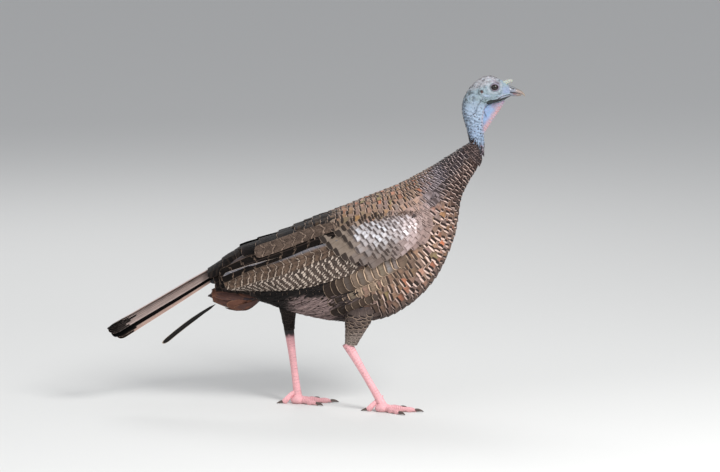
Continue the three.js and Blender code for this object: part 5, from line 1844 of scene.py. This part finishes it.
class TURKEY_OT_leg_coats(bpy.types.Operator):
    """Small feathers of the thighs, the downy flanks between the legs, and bristles on the head"""

    bl_idname = "turkey.leg_coats"
    bl_label = "Leg coats and bristles"

    def execute(self, context):
        coat = context.scene.turkey_coat
        plumage = feather_finish("thigh_plumage")
        for name, loft in THIGHS.items():
            rng = dice(coat.seed + 50 + SIDES[name])
            sheet = girth_sheet(loft, 60, 120)
            outward_sign = np.sign(((sheet.points - sheet.points.mean(1, keepdims=True))
                * sheet.normal).sum(-1).mean())
            sheet.normal *= outward_sign
            rows = rows_between(sheet, 0.06, 0.96, lambda t: mix(9, 6, t))
            t, g, dt, dg = lattice(sheet, rows, lambda t, g: mix(13, 7, t))
            n = len(t)
            reach = mix(0.020, 0.016, t) * rng.uniform(0.9, 1.1, n)
            upper = look((0.28, 0.24, 0.23), (0.45, 0.40, 0.37), (0.62, 0.54, 0.48), 3.0, 1.2, 0.3,
                mottle=0.15)
            lower = look((0.48, 0.43, 0.41), (0.55, 0.50, 0.46), (0.68, 0.63, 0.58), 1.5, 0.8, 0.1,
                mottle=0.6)
            dark = look((0.05, 0.042, 0.042), (0.12, 0.10, 0.10), (0.20, 0.17, 0.16), 1.5, 0.5, 0.1,
                mottle=0.15)
            pale = smooth(0.25, 0.6, t)
            # The left thigh is near black all over: partly its own dark feathers and partly painted shade
            # under the body.
            weights = [1 - pale, pale, 0.05 + 0 * t] if name == "right" else [0.05 + 0 * t, 0.05 + 0 * t,
                1 + 0 * t]
            looks = vary(looks_at(weights, [upper, lower, dark]), rng)
            vanes = Vanes()
            vanes.cover(sheet, t, g, dt, dg, reach, rng.normal(0, 0.01, n), 0.64, looks, end=1.0, k=0.8,
                bury=2.6, lift=rng.normal(0.2, 0.2, n), seed=8)
            vanes.piece("thigh_coat_" + name, plumage, "body_feathers", "thigh_" + name)
        down = down_finish()
        self.flank(coat, down)
        self.bristles(coat, down)
        return {"FINISHED"}

    def flank(self, coat, material):
        """Downy plumes over the lower flanks and the belly behind the legs, lying backwards and down."""
        rng = dice(coat.seed + 60)
        sheet = BODY_SHEET
        plumes = Vanes(PLUME_RING, (0.0, 0.3))
        rows = rows_between(sheet, 0.17, 0.46, lambda t: 6.5, 0.12)
        for number, (low, high) in enumerate(((0.0, 0.30), (0.70, 1.0))):
            t, g, dt, dg = lattice(sheet, rows, lambda t, g: 3.4, (low, high))
            x = abs(g - 0.5) * 2
            keep = (x > 0.42) & ((t < 0.40) | (x > 0.62)) & (t - 0.17 + 0.15 * x < 0.42)
            t, g, dt, dg, x = (a[keep] for a in (t, g, dt, dg, x))
            n = len(t)
            along_t = sheet.pace(0, t, g)
            along_g = sheet.pace(1, t, g)
            clump = fractal(stack(t * 30, g * 60, 0 * t), 1.0, 2, 4)
            reach = rng.uniform(0.018, 0.028, n)
            downward = np.sign(0.5 - g) * -1 * (0.45 + 0.4 * clump)
            tip = stack(t - reach / along_t, g + downward * reach / along_g)
            place = sheet.pick(sheet.points, t, g) / MM
            below = 205 + 0.095 * (place[:, 0] + 128) - place[:, 2]  # under the wing's lower edge
            # Plumes are near black where light is low: painted shadow in a band under the wing's lower
            # edge; they are also darker towards the back and the front.
            light = smooth(-5, 3, below) * smooth(-44, -12, place[:, 0]) * (1
                - 0.75 * smooth(34, 62, place[:, 0]))
            looks = looks_at([1.15 - light, np.clip(clump + 0.8, 0, 1) * light],
                [look((0.06, 0.05, 0.05), (0.04, 0.035, 0.035), (0.16, 0.14, 0.135), 0, 0, 0),
                look((0.53, 0.45, 0.44), (0.36, 0.30, 0.30), (0.77, 0.67, 0.65), 0, 0, 0)])
            cell = patches(g, t, dg, dt) * (0.48, 1, 0.48, 1) + (0.5 * number, 0, 0, 0)
            plumes.add(sheet, stack(t, g), tip, rng.uniform(0.9, 1.5, n) * MM, vary(looks, rng, 0.2), cell,
                k=3.0, bury=3.0, lift=rng.uniform(0.2, 2.4, n), thick=0.5, camber=0.0, base=0.8,
                bend=rng.normal(0, 0.15, n), seed=9 + number)
        plumes.piece("flank_down", material, "body_feathers", "trunk")

    def bristles(self, coat, material):
        """Short stiff bristles, thick on the crown and nape and sparse down the neck."""
        rng = dice(coat.seed + 70)
        sheet = HEAD_SHEET
        rows = rows_between(sheet, 0.0, 0.74, lambda t: 2.6)
        t, g, dt, dg = lattice(sheet, rows, lambda t, g: 2.6)
        point = sheet.pick(sheet.points, t, g) / MM
        x = abs(g - 0.5) * 2
        crown = smooth(0.42, 0.55, t) * fall(0.25, 0.42, x)
        nape = smooth(0.0, 0.1, t) * fall(0.42, 0.6, t) * fall(0.12, 0.45, x)
        collar = fall(0.02, 0.14, t)
        eye = np.hypot(point[:, 0] - EYE["x"], point[:, 2] - EYE["z"])
        chance = np.maximum.reduce([0.85 * crown, 0.7 * nape, 0.95 * collar, 0.10 + 0 * t]) * (eye > 9)
        keep = rng.random(len(t)) < chance
        t, g, dt, dg, collar, crown = (a[keep] for a in (t, g, dt, dg, collar, crown))
        n = len(t)
        along_t = sheet.pace(0, t, g)
        along_g = sheet.pace(1, t, g)
        reach = (rng.uniform(0.0025, 0.0045, n) + 0.004 * collar)
        jitter = rng.normal(0, 0.0016, n)
        t0 = np.clip(t + rng.normal(0, 0.3, n) * dt, 0, 1)
        tip = stack(np.clip(t0 - reach / along_t, 0, 1), g + jitter / along_g)
        looks = looks_at([1 - 0.75 * crown, 0.75 * crown],
            [look((0.14, 0.12, 0.13), (0.1, 0.1, 0.1), (0.30, 0.27, 0.28), 0, 0, 0),
            look((0.52, 0.44, 0.44), (0.35, 0.3, 0.3), (0.82, 0.76, 0.76), 0, 0, 0)])
        hairs = Vanes(PLUME_RING, (0.0, 0.3))
        hairs.add(sheet, stack(t0, g), tip, (0.16 + 0.45 * collar) * MM, vary(looks, rng, 0.25),
            patches(g, t, dg, dt), k=4.0, bury=1.0, lift=rng.uniform(0.8, 1.8, n) + 0.8 * collar,
            thick=0.25, camber=0.0, base=1.0, seed=12, power=0.7)
        hairs.piece("head_bristles", material, "bare_skin", "head")
        ribs = [(262, 474, 293, 439, 23), (277, 484.5, 300.5, 455, 17), *HEAD_RIBS[1:3]]
        sheet = girth_sheet(Loft(ribs), 60, 120)
        t, g, dt, dg = lattice(sheet, rows_between(sheet, 0.2, 0.6, lambda t: 4.2), lambda t, g: 5.5)
        nape = fall(0.2, 0.8, abs(g - 0.5) * 2 + rng.normal(0, 0.06, len(t)))
        keep = t < mix(0.36, 0.56, nape)
        t, g, dt, dg = (a[keep] for a in (t, g, dt, dg))
        along_t = sheet.pace(0, t, g)
        tip = stack(np.maximum(t - 0.013 / along_t, 0), g + rng.normal(0, 0.01, len(t)))
        collar = Vanes()
        collar.add(sheet, stack(t, g), tip, rng.uniform(2.6, 3.6, len(t)) * MM,
            vary(same(look(coat.umber, (0.4, 0.35, 0.35), (0.56, 0.48, 0.46), 1.0, 0.8, 0.2), len(t)), rng),
            patches(g, t, dg, dt), k=0.8, bury=2.5, lift=rng.uniform(0.4, 1.4, len(t)), seed=14)
        collar.piece("collar_feathers", feather_finish("collar_plumage"), "body_feathers", "neck_bare")


class TURKEY_OT_stage(bpy.types.Operator):
    """Floor, soft lights and camera"""

    bl_idname = "turkey.stage"
    bl_label = "Stage"

    def execute(self, context):
        scene = context.scene
        stage = scene.turkey_stage
        size = 40.0
        mesh = bpy.data.meshes.new("floor")
        mesh.from_pydata([(-size, -size, 0), (size, -size, 0), (size, size, 0), (-size, size, 0)], [],
            [(0, 1, 2, 3)])
        floor = bpy.data.objects.new("floor", mesh)
        scene.collection.objects.link(floor)
        m = Finish("floor_paint", Roughness=0.85)
        grain = m.noise(m.place(), 40.0, 3)
        mesh.materials.append(m.set(Base_Color=m.blend(grain * 0.04, rgba(stage.floor),
            (0.5, 0.5, 0.5, 1))))

        world = bpy.data.worlds.new("studio")
        world.use_nodes = True
        back = world.node_tree.nodes["Background"]
        back.inputs["Color"].default_value = (0.93, 0.95, 1.0, 1)
        back.inputs["Strength"].default_value = 0.5
        scene.world = world
        for name, place, side, power in (("key", (1.6, -2.3, 2.3), 1.3, 120),
                ("fill", (-2.4, -2.0, 1.4), 2.0, 20), ("rim", (-0.8, 2.4, 2.4), 1.6, 25)):
            light = bpy.data.lights.new(name, "AREA")
            light.energy, light.size = power, side
            self.hang(scene, name, light, Vector(place), Vector((0.05, 0, 0.3)) - Vector(place))

        away = Vector((0, -math.cos(stage.elevation), math.sin(stage.elevation)))
        camera = bpy.data.cameras.new("camera")
        camera.sensor_width = 36
        camera.lens = 36 * stage.distance / stage.width
        camera.clip_end = 50
        place = Vector((0.079, 0, 0.313)) + away * stage.distance
        scene.camera = self.hang(scene, "camera", camera, place, -away)
        scene.view_settings.view_transform = "Standard"
        return {"FINISHED"}

    def hang(self, scene, name, data, place, aim):
        """A lamp or camera at a place, looking along a direction."""
        obj = bpy.data.objects.new(name, data)
        obj.location, obj.rotation_mode = place, "QUATERNION"
        obj.rotation_quaternion = aim.to_track_quat("-Z", "Y")
        scene.collection.objects.link(obj)
        return obj


class TURKEY_PT_parts(bpy.types.Panel):
    """Lists the pieces and their settings."""

    bl_label = "Wild turkey hen"
    bl_idname = "TURKEY_PT_parts"
    bl_space_type = "VIEW_3D"
    bl_region_type = "UI"
    bl_category = "Turkey"

    def draw(self, context):
        for group in ("turkey_coat", "turkey_skin", "turkey_stage"):
            box = self.layout.box()
            settings = getattr(context.scene, group)
            for key in settings.__annotations__:
                box.prop(settings, key)
        for operator in OPERATORS:
            self.layout.operator(operator.bl_idname)


OPERATORS = (TURKEY_OT_skin, TURKEY_OT_eyes, TURKEY_OT_bill, TURKEY_OT_wattles, TURKEY_OT_legs,
    TURKEY_OT_body_coat, TURKEY_OT_wing_coats, TURKEY_OT_tail_coats, TURKEY_OT_leg_coats, TURKEY_OT_stage)
CLASSES = (TURKEY_PG_coat, TURKEY_PG_skin, TURKEY_PG_stage, *OPERATORS, TURKEY_PT_parts)


def register():
    for item in CLASSES:
        bpy.utils.register_class(item)
    bpy.types.Scene.turkey_coat = PointerProperty(type=TURKEY_PG_coat)
    bpy.types.Scene.turkey_skin = PointerProperty(type=TURKEY_PG_skin)
    bpy.types.Scene.turkey_stage = PointerProperty(type=TURKEY_PG_stage)


def unregister():
    del bpy.types.Scene.turkey_coat, bpy.types.Scene.turkey_skin, bpy.types.Scene.turkey_stage
    for item in reversed(CLASSES):
        bpy.utils.unregister_class(item)


def main():
    register()
    for operator in OPERATORS:
        group, name = operator.bl_idname.split(".")
        getattr(getattr(bpy.ops, group), name)()


if __name__ == "__main__":
    main()
